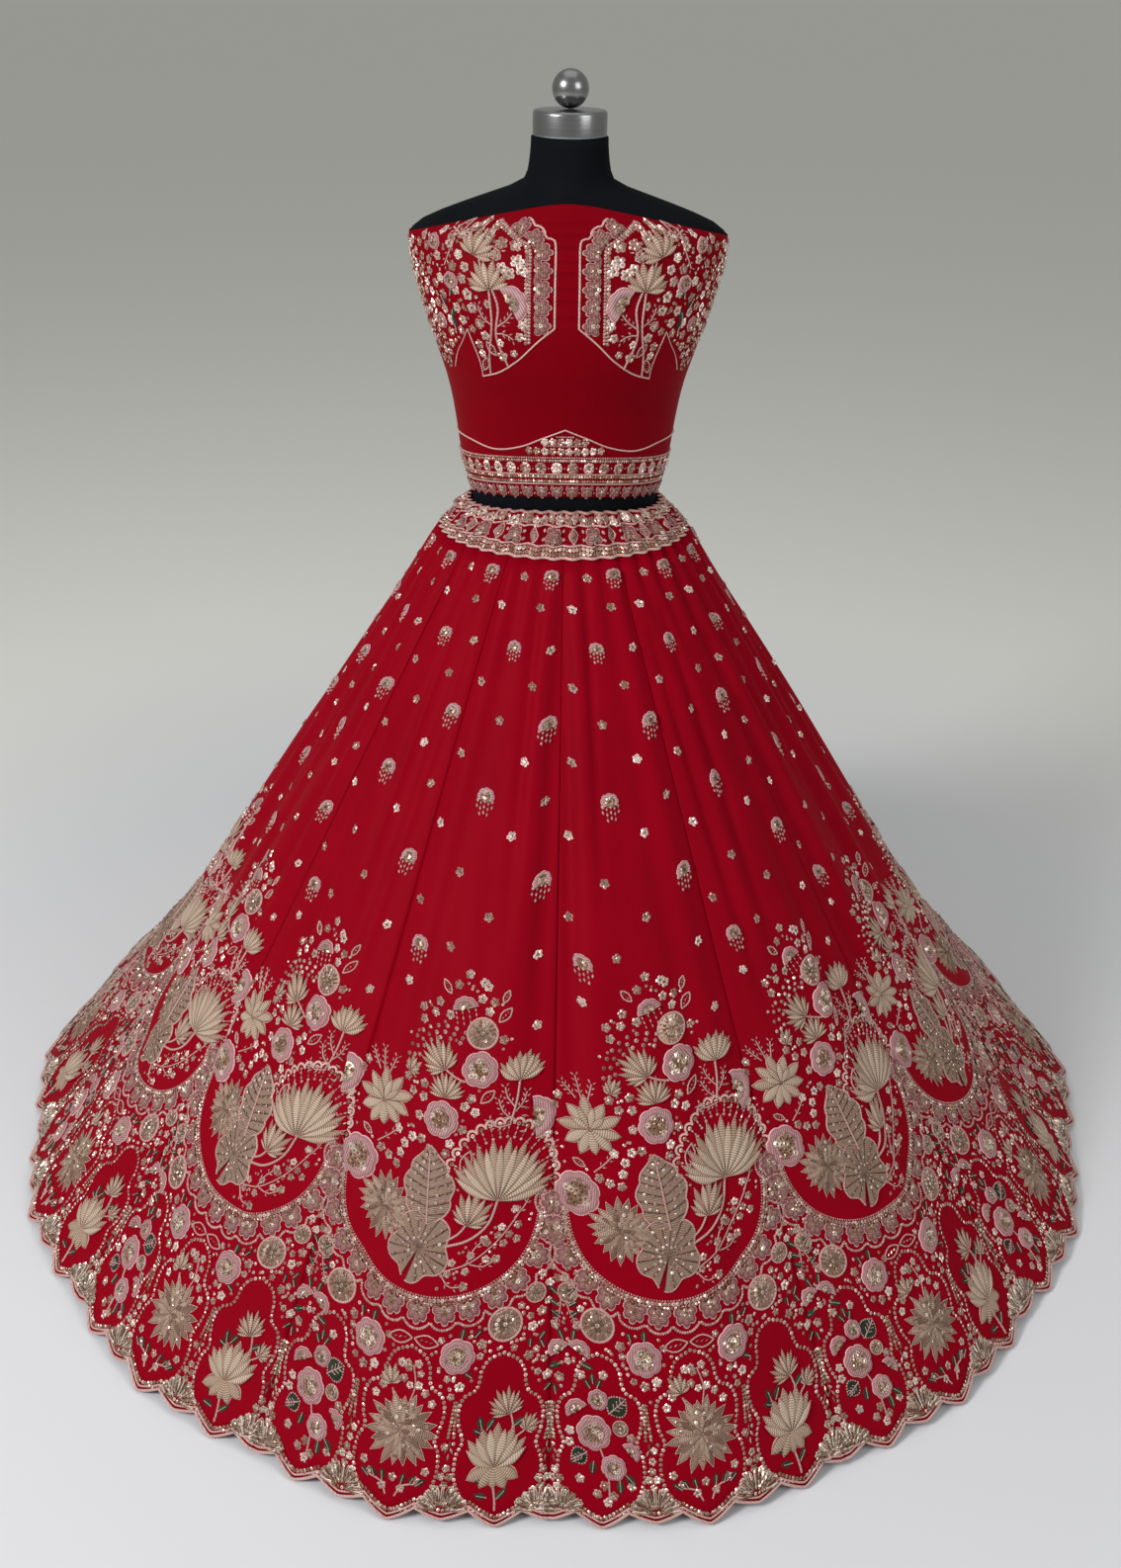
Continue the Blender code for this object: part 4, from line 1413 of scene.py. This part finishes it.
YOKE_FLORETS = (
    (0.064, 1.376, 0.017), (0.075, 1.362, 0.016), (0.058, 1.366, 0.014), (0.066, 1.394, 0.015),
    (0.084, 1.368, 0.014), (0.092, 1.382, 0.014), (0.084, 1.396, 0.015), (0.100, 1.404, 0.013),
    (0.056, 1.302, 0.013), (0.060, 1.288, 0.012), (0.082, 1.262, 0.015), (0.112, 1.300, 0.014),
    (0.104, 1.286, 0.013), (0.112, 1.274, 0.013), (0.108, 1.262, 0.012), (0.122, 1.318, 0.014),
    (0.128, 1.334, 0.015), (0.120, 1.348, 0.013), (0.136, 1.352, 0.014), (0.132, 1.366, 0.013),
    (0.144, 1.338, 0.014), (0.148, 1.366, 0.014), (0.140, 1.380, 0.013), (0.152, 1.392, 0.013),
    (0.104, 1.418, 0.014), (0.092, 1.413, 0.013), (0.120, 1.411, 0.014), (0.134, 1.404, 0.014),
    (0.150, 1.398, 0.013), (0.142, 1.316, 0.014), (0.134, 1.302, 0.013), (0.150, 1.300, 0.014),
    (0.150, 1.284, 0.013), (0.150, 1.268, 0.013), (0.152, 1.256, 0.012), (0.153, 1.244, 0.012),
    (0.160, 1.330, 0.014), (0.164, 1.350, 0.013), (0.168, 1.376, 0.013), (0.158, 1.312, 0.013),
    (0.160, 1.276, 0.012),
)
YOKE_SPRIGS = (
    ((0.096, 1.300), (0.108, 1.308), (0.114, 1.322)), ((0.090, 1.298), (0.078, 1.306), (0.070, 1.316)),
    ((0.090, 1.290), (0.078, 1.290), (0.068, 1.284)), ((0.118, 1.402), (0.132, 1.402), (0.146, 1.410)),
    ((0.112, 1.386), (0.098, 1.392), (0.086, 1.386)), ((0.146, 1.396), (0.152, 1.382), (0.158, 1.366)),
)
YOKE_BEADS = (
    (0.0480, 1.282), (0.0480, 1.340), (0.0480, 1.390), (0.058, 1.399), (0.072, 1.410), (0.084, 1.421),
)
# Where the filled ground of the yoke ends below: places across and heights
YOKE_GROUND = ((0.056, 0.062, 0.086, 0.108, 0.116, 0.128), (1.272, 1.264, 1.248, 1.240, 1.262, 1.298))


def on_side(x, z):
    low = 1.232 + 0.05 * smooth_step(np.array(x), 0.19, 0.26)
    widths, heights = zip(*SIDE_DART[::-1])
    past_dart = z > 1.300 or seen_x(x, z) > np.interp(z, heights, widths) + 0.005
    starts = choli_x(0.112, 1.33)
    return starts < x < PI / 2 * CHOLI_SPREAD - 0.006 and low < z < choli_edge(x, 0.0) - 0.008 and past_dart


def inside_yoke(x, z):
    seen = seen_x(x, z)
    if seen <= 0.056 or z > choli_edge(x, 0.0) - 0.007:
        return False
    return z > np.interp(seen, *YOKE_GROUND) and (seen < 0.126 or z > 1.30)


def yoke_design():
    design = Design(11)

    def sew_front(sew, places, *common):
        for x, z, *rest in places:
            sew(design, choli_x(x, z), z, *rest, *common)

    for line, width, spacing in (
        (YOKE_LINE, 0.0022, 0.004), (YOKE_LOWER_LINE, 0.0021, 0.005), (YOKE_DART, 0.0016, 0.006),
        (SIDE_DART, 0.0014, 0.006),
    ):
        stem(design, carried(line), width, spacing, tint=0.9)
    sew_front(shell, [(0.0335, z, PI / 2) for z in (1.303, 1.324, 1.345, 1.366, 1.387)], 0.0245)
    sew_front(shell, ((0.043, 1.402, 0.9), (0.060, 1.414, 0.5)), 0.0235)
    bead_line(design, carried(YOKE_BEADS), 0.0040, 0.0040)
    sequin_line(design, carried([(x + 0.0040, z - 0.0010) for x, z in YOKE_BEADS]), 0.0046, 0.0046, BLUSH)
    stem(design, carried(((0.074, 1.247), (0.090, 1.285), (0.088, 1.320), (0.096, 1.342))), 0.0026)
    stem(design, carried(((0.098, 1.236), (0.099, 1.262), (0.096, 1.300), (0.100, 1.340))), 0.0026)
    sew_front(lotus, ((0.099, 1.341, -0.15),), 0.056, 0.038, 5)
    stem(design, carried(((0.110, 1.362), (0.112, 1.372), (0.116, 1.390))), 0.0026)
    sew_front(lotus, ((0.120, 1.380, 0.45),), 0.052, 0.036, 5)
    for angle in fan(12, 2.3, 0.45):
        bead(design, *stepped(choli_x(0.120, 1.380), 1.380, angle, 0.031), 0.0050, BLUSH)
    sew_front(half_rose, ((0.074, 1.326, 1.1),), 0.046, 0.9)
    sew_front(floret, YOKE_FLORETS)
    leaves = ((0.090, 1.262, -0.6, 0.020), (0.106, 1.240, 0.5, 0.020), (0.146, 1.400, 0.3, 0.022))
    sew_front(outline_leaf, leaves)
    for path in YOKE_SPRIGS:
        sprig(design, carried(path), ends=False, spacing=0.008)
    greens = ((0.148, 1.300, 0.4), (0.142, 1.290, -0.3), (0.156, 1.316, -0.4), (0.150, 1.330, 0.3))
    sew_front(green_leaf, greens, 0.018, 0.009)
    sew_front(rose, ((0.150, 1.348, 0.022), (0.172, 1.392, 0.020), (0.162, 1.296, 0.020)))
    low = (0.10, 1.23)
    high = (0.27, 1.44)
    scatter(design, on_side, low, high, (900, 0.0066, floret, 0.0125), (160, 0.0058, small_green))
    scatter(design, inside_yoke, (0.05, 1.23), (0.20, 1.44), (600, 0.0060, floret, 0.0110))
    scatter(design, on_side, low, high, (1500, 0.0030, sequin, 0.0042))
    return design


def mirrored(sewn):
    points = sewn.points * (-1, 1, 1)
    return Patch(points, sewn.faces[:, ::-1], sewn.uv, sewn.rim)


def belt_design():
    # the band of embroidery round the choli's lower edge, the same in front and behind
    design = Design(13)
    half = PI * CHOLI_SPREAD

    def row(rise):
        return [(x, choli_edge(x, 1.0) + rise) for x in np.linspace(-half, half, 181)]

    for rise in (0.0225, 0.0290):
        sequin_line(design, row(rise), 0.0044, 0.0044)
    for rise in (0.0190, 0.0325):
        stem(design, row(rise), 0.0018, 0.006, tint=0.7)
    for index in range(BELT_SHELLS):
        x = -half + (index + 0.5) * 2 * half / BELT_SHELLS
        foot = choli_edge(x, 1.0)
        shell(design, x, foot + 0.0095, PI, 0.0215)
        floret(design, x, foot + 0.0410, 0.0185, 8)
        for rise in (0.0410, 0.0060):
            bead(design, x + half / BELT_SHELLS, foot + rise, 0.0030)
    sequin_line(design, row(0.0520), 0.0042, 0.0042, BLUSH)
    bead_line(design, row(0.0560), 0.0038, 0.0032)
    for middle in (0.0, half):
        for side in (-1, 1):
            edge = [(middle + side * choli_x(x, z), z) for x, z in BELT_LINE]
            stem(design, edge, 0.0021, 0.005, tint=0.9)
            for height, florets in ((1.132, 5), (1.1455, 3)):
                for step in range(florets):
                    floret(design, middle + side * (0.006 + step * 0.0125), height, 0.0125)
        for reach, height in ((0.032, 1.1400), (0.012, 1.1530)):
            bead_line(design, ((middle - reach, height), (middle + reach, height)), 0.0036, 0.0030)
    return design


def back_choli_design():
    # hidden side: a plain back with a row of florets under its top edge and a few sprays
    design = Design(17)
    half = PI * CHOLI_SPREAD
    reach = half / 2 - 0.014
    for x in np.linspace(half - reach, half + reach, BACK_FLORETS):
        floret(design, x, choli_edge(x, 0.0) - 0.014, 0.013)
    sew_each(design, spray, half, (
        (-0.16, 1.34), (-0.08, 1.30), (0.0, 1.34), (0.08, 1.30), (0.16, 1.34), (-0.12, 1.24), (0.0, 1.25),
        (0.12, 1.24),
    ), 0.020)
    return design


def band_design():
    design = Design(19)
    reach = 2 * PI * BAND_SPREAD

    def row(rise):
        return [(x, rise) for x in np.linspace(0, reach, 337)]

    stem(design, row(0.0488), 0.0030, 0.0030, 0.0006, 0.2)
    sequin_line(design, row(0.0065), 0.0044, 0.0046)
    sequin_line(design, row(0.0110), 0.0044, 0.0044, BLUSH)
    for rise, width in ((0.0022, 0.0030), (0.0146, 0.0020), (0.0350, 0.0020)):
        stem(design, row(rise), width, 0.0030, 0.0006, 0.8)
    for index in range(BAND_MOTIFS):
        x = (index + 0.5) * reach / BAND_MOTIFS
        if index % 2:
            shell(design, x, 0.0240, 0.0, 0.0245)
        else:
            design.lay(MAUVE, LEAF, x, 0.0165, 0.15, (0.011, 0.0165, 0.0026), 0.0006, 0.7)
            sequin(design, x, 0.0240, 0.0050, lift=0.0026)
            for side in (-0.0065, 0.0065):
                edge = ((x, 0.0160), (x + side, 0.0245), (x, 0.0335))
                stem(design, edge, 0.0016, 0.004, tint=0.9)
        for rise in (0.0205, 0.0290):
            bead(design, x + reach / BAND_MOTIFS / 2, rise, 0.0040)
    for index in range(BAND_FLORETS):
        x = (index + 0.5) * reach / BAND_FLORETS
        floret(design, x, 0.0410 + 0.0022 * math.sin(index * 1.7), 0.0134)
    return design


# Finishes

def linear(hex_colour):
    channels = [int(hex_colour[index:index + 2], 16) / 255 for index in (1, 3, 5)]
    return tuple(c / 12.92 if c <= 0.04045 else ((c + 0.055) / 1.055) ** 2.4 for c in channels) + (1.0,)


# The wave texture has this period at a scale of 1
WAVE_PERIOD = 2 * PI / 20


class Look:
    """A material of nodes. Each input is a value, a colour or the output of a node made before."""

    def __init__(self, name):
        self.material = bpy.data.materials.new(name)
        self.material.use_nodes = True
        self.tree = self.material.node_tree

    def fill(self, node, inputs):
        for name, value in inputs.items():
            if isinstance(value, bpy.types.NodeSocket):
                self.tree.links.new(value, node.inputs[name])
            else:
                node.inputs[name].default_value = linear(value) if isinstance(value, str) else value

    def node(self, kind, inputs, **settings):
        node = self.tree.nodes.new("ShaderNode" + kind)
        for name, value in settings.items():
            setattr(node, name, value)
        self.fill(node, inputs)
        return node.outputs

    def on_pattern(self):
        return self.node("UVMap", {}, uv_map="pattern")["UV"]

    def on_object(self):
        return self.node("TexCoord", {})["Object"]

    def stored(self, name):
        return self.node("Attribute", {}, attribute_name=name)["Fac"]

    def stretched(self, place, scale):
        return self.node("Mapping", {"Vector": place, "Scale": scale})["Vector"]

    def noise(self, place, scale, detail):
        return self.node("TexNoise", {"Vector": place, "Scale": scale, "Detail": detail})["Fac"]

    def bands(self, place, direction, pitch, distortion=0.0, detail=2.0, detail_scale=1.0):
        inputs = {"Vector": place, "Scale": WAVE_PERIOD / pitch, "Distortion": distortion}
        inputs.update({"Detail": detail, "Detail Scale": detail_scale})
        return self.node("TexWave", inputs, wave_type="BANDS", bands_direction=direction)["Fac"]

    def ramp(self, value, low=0.0, high=1.0, start=0.0, end=1.0, **settings):
        # from low to high, as the value goes from start to end
        inputs = {"Value": value, "From Min": start, "From Max": end, "To Min": low, "To Max": high}
        return self.node("MapRange", inputs, **settings)["Result"]

    def scaled_sum(self, value, share, more):
        return self.node("Math", {0: value, 1: share, 2: more}, operation="MULTIPLY_ADD")[0]

    def mix(self, factor, first, second, blend="MIX"):
        inputs = {"Factor": factor, 6: first, 7: second}
        return self.node("Mix", inputs, data_type="RGBA", blend_type=blend)[2]

    def bump(self, height, strength, distance, **under):
        inputs = {"Height": height, "Strength": strength, "Distance": distance, **under}
        return self.node("Bump", inputs)["Normal"]

    def finish(self, inputs):
        self.fill(self.tree.nodes["Principled BSDF"], inputs)
        return self.material


def woven_silk(name, low, high, roughness, thread_pitch):
    # Plain-woven silk, dyed: an even matt ground with slubs along the threads and a faint sheen.
    # The threads are drawn coarser than the real 0.2 mm so that they show.
    look = Look(name)
    place = look.on_pattern()
    slubs = look.noise(look.stretched(place, (260.0, 26.0, 1.0)), 1.0, 3.0)
    clouds = look.scaled_sum(look.noise(place, 9.0, 2.0), 0.6, 0.0)
    warp, weft = (look.bands(place, direction, thread_pitch, 0.6, 1.0) for direction in "XY")
    weave = look.bump(look.scaled_sum(warp, 0.5, weft), 0.12, 0.0004)
    return look.finish({
        "Base Color": look.mix(look.scaled_sum(slubs, 0.4, clouds), low, high),
        "Normal": look.bump(slubs, 0.10, 0.0006, Normal=weave),
        "Roughness": roughness, "Specular IOR Level": 0.03,
        "Sheen Weight": 0.10, "Sheen Roughness": 0.4, "Sheen Tint": "#c4001c",
    })


def satin_stitch(name, ground, light, painted_gap_shadow, edge, rib_pitch, rim_start):
    # Rayon floss laid in close bars over padding: fine ribs across the shape and a cord round its edge.
    # The grooves between the bars are painted darker, as painted shade. A band just inside the cord,
    # and the troughs between ridges, take a painted shadow colour.
    look = Look(name)
    rim = look.stored("rim")
    ribs = look.bands(look.on_pattern(), "Y", rib_pitch, 1.2, 1.0, 4.0)
    body = look.mix(look.stored("tint"), ground, light)
    body_with_painted_rib_shade = look.mix(1.0, body, look.ramp(ribs, 0.42, 1.0), "MULTIPLY")
    body_with_painted_gap_shadow = look.mix(look.ramp(rim, start=rim_start - 0.22, end=rim_start), body_with_painted_rib_shade, painted_gap_shadow)
    return look.finish({
        "Base Color": look.mix(look.ramp(rim, start=rim_start, end=rim_start + 0.10), body_with_painted_gap_shadow, edge),
        "Normal": look.bump(ribs, 0.5, 0.0008),
        "Roughness": 0.48, "Specular IOR Level": 0.2,
    })


def foil_sequin(name, deep, ground, light, roughness):
    # Metallised film, cupped and stitched down: a bright edge, a dark eye and each one at its own tilt.
    #     # The tint mixes the ground towards the near-white light colour, a painted glint, strongest on the
    #     highest tints.
    look = Look(name)
    body = look.mix(look.stored("tint"), ground, light)
    eye = look.ramp(look.stored("rim"), start=0.05, end=0.55)
    return look.finish({"Base Color": look.mix(eye, deep, body), "Metallic": 0.5, "Roughness": roughness})


def twisted_cord(name, ground, light):
    # Rayon cord and glass seed beads in one pale colour: a twist along the line, its grooves painted darker
    # as painted shade.
    look = Look(name)
    twist = look.bands(look.on_pattern(), "DIAGONAL", 0.0024)
    body = look.mix(look.stored("tint"), ground, light)
    return look.finish({
        "Base Color": look.mix(1.0, body, look.ramp(twist, 0.70, 1.0), "MULTIPLY"),
        "Normal": look.bump(twist, 0.4, 0.0005), "Roughness": 0.40,
    })


def knitted_jersey():
    # Black cotton jersey stretched over the form: matt, with fine rows of stitches.
    look = Look("black_cotton_jersey")
    place = look.on_object()
    return look.finish({
        "Base Color": look.mix(look.noise(place, 14.0, 4.0), "#090a0d", "#15161b"),
        "Normal": look.bump(look.bands(place, "Z", 0.0016, 1.0), 0.25, 0.0004),
        "Roughness": 0.85, "Specular IOR Level": 0.04,
    })


def polished_steel():
    # Chromed steel: a mirror with faint polishing marks round it.
    look = Look("chromed_steel")
    marks = look.noise(look.stretched(look.on_object(), (6.0, 6.0, 600.0)), 1.0, 2.0)
    return look.finish({"Base Color": "#8e8e90", "Metallic": 1.0, "Roughness": look.ramp(marks, 0.20, 0.34)})


def powder_coated_steel():
    # Powder coat: a fine orange peel over black steel.
    look = Look("powder_coated_steel")
    peel = look.noise(look.on_object(), 700.0, 2.0)
    return look.finish({"Base Color": "#26262a", "Normal": look.bump(peel, 0.2, 0.0003), "Roughness": 0.45})


def painted_floor():
    # Studio paint, whiter further out than round the object: painted light where the lamps reach the floor
    # less.
    look = Look("matt_floor_paint")
    reach = look.node("VectorMath", {0: look.on_object()}, operation="LENGTH")["Value"]
    far = look.ramp(reach, start=1.05, end=2.3, interpolation_type="SMOOTHSTEP")
    return look.finish({"Base Color": look.mix(far, "#dfe0e4", "#f2f2ee"), "Roughness": 0.6})


SKIRT_SILK = woven_silk("raw_silk_crimson", "#7c0012", "#940018", 0.60, 0.0012)
CHOLI_SILK = woven_silk("satin_silk_crimson", "#6e000b", "#820012", 0.55, 0.0010)
BAND_SILK = woven_silk("raw_silk_band", "#6c000c", "#800012", 0.60, 0.0012)
# Of each satin stitch's four colours the third is a painted shadow for the gaps between shapes and the
# troughs between ridges; of each foil's three colours the last is a near-white painted glint.
THREADS = {
    IVORY: satin_stitch("ivory_rayon_satin_stitch", "#b4957e", "#e0c8b2", "#4c2622", "#c9958a", 0.0030, 0.66),
    ROSE: satin_stitch("rose_wool_pad_stitch", "#ae7679", "#d2a6a7", "#a86a6e", "#e4bebf", 0.0030, 0.86),
    MAUVE: satin_stitch("mauve_rayon_satin_stitch", "#94605e", "#bd8b86", "#6b3638", "#d0a09c", 0.0026, 0.88),
    ZARI: satin_stitch("gold_zari_laid_thread", "#7c5a4a", "#c9aa94", "#3c201c", "#cfa394", 0.0026, 0.80),
    GOLD: foil_sequin("antique_gold_foil", "#3c221c", "#94705a", "#fff0e0", 0.26),
    BLUSH: foil_sequin("blush_copper_foil", "#603a34", "#a97c70", "#fbe6dc", 0.32),
    CORD: twisted_cord("blush_rayon_cord", "#b07c76", "#dcb4ac"),
    GREEN: satin_stitch("green_rayon_satin_stitch", "#1c2a1c", "#33462c", "#141c12", "#4a5034", 0.0022, 0.86),
}
JERSEY = knitted_jersey()
CHROME = polished_steel()
POWDER_COAT = powder_coated_steel()


# The stand

def solid_piece(name, mesh, material, node):
    piece = ride_piece(name, mesh, material)
    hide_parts(node)


NECK_SEAM_HEIGHT = 1.470
NECK_SEAM_DEPTH = 0.0012
SHOULDER_SEAM_SIDE = 0.098
SHOULDER_SEAM_DEPTH = 0.0008
SHOULDER_SEAM_FOOT = 1.40
COVER_SEAM_WIDTH = 0.0016


def build_form_cover():
    top = FORM_SECTIONS[-1, 0]
    low = FORM_SECTIONS[0, 0]

    def surface(across, down):
        angle = across * 2 * PI
        height = top + (low - top) * down
        # the sewn seam of the cover round the foot of the neck, and two down the shoulders
        side = np.abs(np.sin(angle)) * form_size(1, height)
        neck = np.exp(-(((height - NECK_SEAM_HEIGHT) / COVER_SEAM_WIDTH) ** 2))
        shoulder = np.exp(-(((side - SHOULDER_SEAM_SIDE) / COVER_SEAM_WIDTH) ** 2))
        shoulder = shoulder * (height > SHOULDER_SEAM_FOOT)
        depth = NECK_SEAM_DEPTH * neck + SHOULDER_SEAM_DEPTH * shoulder
        return off_form(angle, height, -depth), None

    grid, _ = draped_grid(FORM_COLUMNS, FORM_ROWS, surface)
    bmesh.ops.remove_doubles(grid, verts=grid.verts, dist=MESH_WELD)
    rims = [edge for edge in grid.edges if edge.is_boundary]
    bmesh.ops.holes_fill(grid, edges=rims, sides=0)
    bmesh.ops.recalc_face_normals(grid, faces=grid.faces)
    solid_piece("form_cover", mesh_from("form_cover", grid), JERSEY, "form_torso")


def turned_mesh(name, profile, steps):
    # a profile of radius and height, spun once round the axis
    shape = bmesh.new()
    points = [shape.verts.new((radius, 0, height)) for radius, height in profile]
    edges = [shape.edges.new(pair) for pair in zip(points, points[1:])]
    bmesh.ops.spin(
        shape, geom=points + edges, cent=(0, 0, 0), axis=(0, 0, 1), angle=2 * PI, steps=steps, use_merge=True
    )
    bmesh.ops.remove_doubles(shape, verts=shape.verts, dist=MESH_WELD)
    bmesh.ops.recalc_face_normals(shape, faces=shape.faces)
    return mesh_from(name, shape)


def build_stand():
    cap = (
        (0.0, CAP_TOP), (0.008, CAP_TOP), (0.040, CAP_TOP - 0.0004), (0.0455, CAP_TOP - 0.0010),
        (0.0474, CAP_TOP - 0.0026), (CAP_RADIUS, CAP_TOP - 0.0050), (CAP_RADIUS, CAP_BOTTOM + 0.0040),
        (CAP_RADIUS, CAP_BOTTOM + 0.0006), (0.0474, CAP_BOTTOM), (0.0, CAP_BOTTOM),
    )
    solid_piece("neck_cap", turned_mesh("neck_cap", cap, 96), CHROME, "form_neck_cap")
    ball = bmesh.new()
    bmesh.ops.create_uvsphere(ball, u_segments=48, v_segments=32, radius=FINIAL_RADIUS)
    bmesh.ops.translate(ball, verts=ball.verts, vec=(0, 0, CAP_TOP + SEAM_GAP + FINIAL_RADIUS))
    solid_piece("finial_ball", mesh_from("finial_ball", ball), CHROME, "form_finial")
    top = FORM_SECTIONS[0, 0] - SEAM_GAP
    low = BASE_THICKNESS + SEAM_GAP
    pole = ((0.0, top), (POLE_RADIUS, top), (POLE_RADIUS, low + 0.03), (POLE_RADIUS, low), (0.0, low))
    solid_piece("stand_pole", turned_mesh("stand_pole", pole, 48), POWDER_COAT, "form_pole")
    base = (
        (0.0, BASE_THICKNESS), (BASE_RADIUS - 0.008, BASE_THICKNESS),
        (BASE_RADIUS - 0.003, BASE_THICKNESS - 0.001), (BASE_RADIUS - 0.0006, BASE_THICKNESS - 0.004),
        (BASE_RADIUS, 0.006), (BASE_RADIUS, 0.0), (0.0, 0.0),
    )
    solid_piece("stand_base", turned_mesh("stand_base", base, 96), POWDER_COAT, "form_base")


# The cloth

def build_kalis():
    for kali in range(KALI_COUNT):
        def surface(across, down, kali=kali):
            # the columns draw closer towards the seams
            across = across - SEAM_CROWDING * np.sin(2 * PI * across) / (2 * PI)
            points = skirt_surface(kali, across, down)
            v = (points[:, 2] - HEM_CLEARANCE) / RISE_PER_SLANT
            return points, np.column_stack(((across - 0.5) * kali_width(v), v))

        name = f"kali_{kali + 1:02d}_silk"
        piece = cloth_piece(name, KALI_CLOTH_COLUMNS, KALI_CLOTH_ROWS, surface, SKIRT_SILK)
        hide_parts(f"lehenga_kali_{kali + 1:02d}")


def build_choli():
    panels = (("choli_front_silk", 0.0, "choli_front"), ("choli_back_silk", PI, "choli_back"))
    for (name, middle, node), rows in zip(panels, CHOLI_CLOTH_ROWS):
        def surface(across, down, middle=middle):
            # the rows lie closer near the top, where the small creases are
            angle = middle + (across - 0.5) * (PI - CHOLI_SIDE_TRIM)
            down = np.interp(down, (0.0, CHOLI_CROWDED_ROWS, 1.0), (0.0, CHOLI_CROWDED_HEIGHT, 1.0))
            height = choli_height(angle, down)
            creases = smooth_step(down, 0.0, 0.02) * choli_crease_height(angle, height)
            points = off_form(angle, height, SEAT_GAP + CHOLI_WALL + creases)
            return points, np.column_stack((angle * CHOLI_SPREAD, height))

        piece = cloth_piece(name, CHOLI_CLOTH_COLUMNS, rows, surface, CHOLI_SILK)
        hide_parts(node)


def build_band():
    def surface(across, down):
        angle = across * 2 * PI
        points = band_surface(angle, down, 0 * angle)
        return points, np.column_stack((angle * BAND_SPREAD, (1 - down) * BAND_HEIGHT))

    columns = KALI_COUNT * BAND_CLOTH_COLUMNS_PER_KALI
    piece = cloth_piece("waistband_silk", columns, BAND_CLOTH_ROWS, surface, BAND_SILK, closed=True)
    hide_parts("lehenga_waistband")


def sew_everything():
    carry(kali_design(), "skirt", on_skirt, range(KALI_COUNT))
    yoke = yoke_design()
    for thread, laid in yoke.work.items():
        yoke.work[thread] = laid + [(mirrored(sewn), tints) for sewn, tints in laid]
    for name, design in (("yoke", yoke), ("belt", belt_design()), ("back", back_choli_design())):
        carry(design, name, lambda copy, flat: on_choli(flat))
    carry(band_design(), "band", lambda copy, flat: on_band(flat))


# Floor, light and camera

FLOOR_REACH = 160.0
CAMERA_PLACE = (0.0009, -2.1275, 1.7315)
CAMERA_PITCH = 0.5016
CAMERA_ROLL = 0.0155
CAMERA_LENS = 35.18
CAMERA_SENSOR = 36.0


def build_floor():
    grid = bmesh.new()
    bmesh.ops.create_grid(grid, x_segments=8, y_segments=8, size=FLOOR_REACH / 2)
    mesh = mesh_from("studio_floor", grid)
    mesh.materials.append(painted_floor())
    link_object("studio_floor", mesh)


def add_light(name, place, target, size, energy):
    light = bpy.data.lights.new(name, "AREA")
    light.shape = "RECTANGLE"
    light.size, light.size_y = size
    light.energy = energy
    direction = Vector(target) - Vector(place)
    turn = direction.to_track_quat("-Z", "Y").to_matrix().to_4x4()
    link_object(name, light).matrix_world = Matrix.Translation(place) @ turn


def build_room():
    build_floor()
    world = bpy.data.worlds.new("studio")
    world.use_nodes = True
    sky = world.node_tree.nodes["Background"]
    sky.inputs["Color"].default_value = linear("#b9bab6")
    sky.inputs["Strength"].default_value = 0.70
    bpy.context.scene.world = world
    bpy.context.scene.view_settings.view_transform = "Standard"
    add_light("key_softbox", (-3.0, -2.5, 3.4), (0.0, 0.0, 0.7), (1.2, 1.0), 146.0)
    add_light("fill_softbox", (2.6, -2.2, 2.6), (0.0, 0.0, 0.6), (1.8, 1.8), 34.0)
    add_light("top_softbox", (0.0, 0.4, 4.0), (0.0, 0.0, 0.6), (2.5, 2.5), 12.0)


def build_camera():
    lens = bpy.data.cameras.new("camera")
    lens.lens = CAMERA_LENS
    lens.sensor_width = CAMERA_SENSOR
    camera = link_object("camera", lens)
    tilt = Matrix.Rotation(PI / 2 - CAMERA_PITCH, 4, "X") @ Matrix.Rotation(CAMERA_ROLL, 4, "Z")
    camera.matrix_world = Matrix.Translation(CAMERA_PLACE) @ tilt
    bpy.context.scene.camera = camera


build_camera()
build_room()
build_form_cover()
build_stand()
build_band()
build_kalis()
build_choli()
sew_everything()
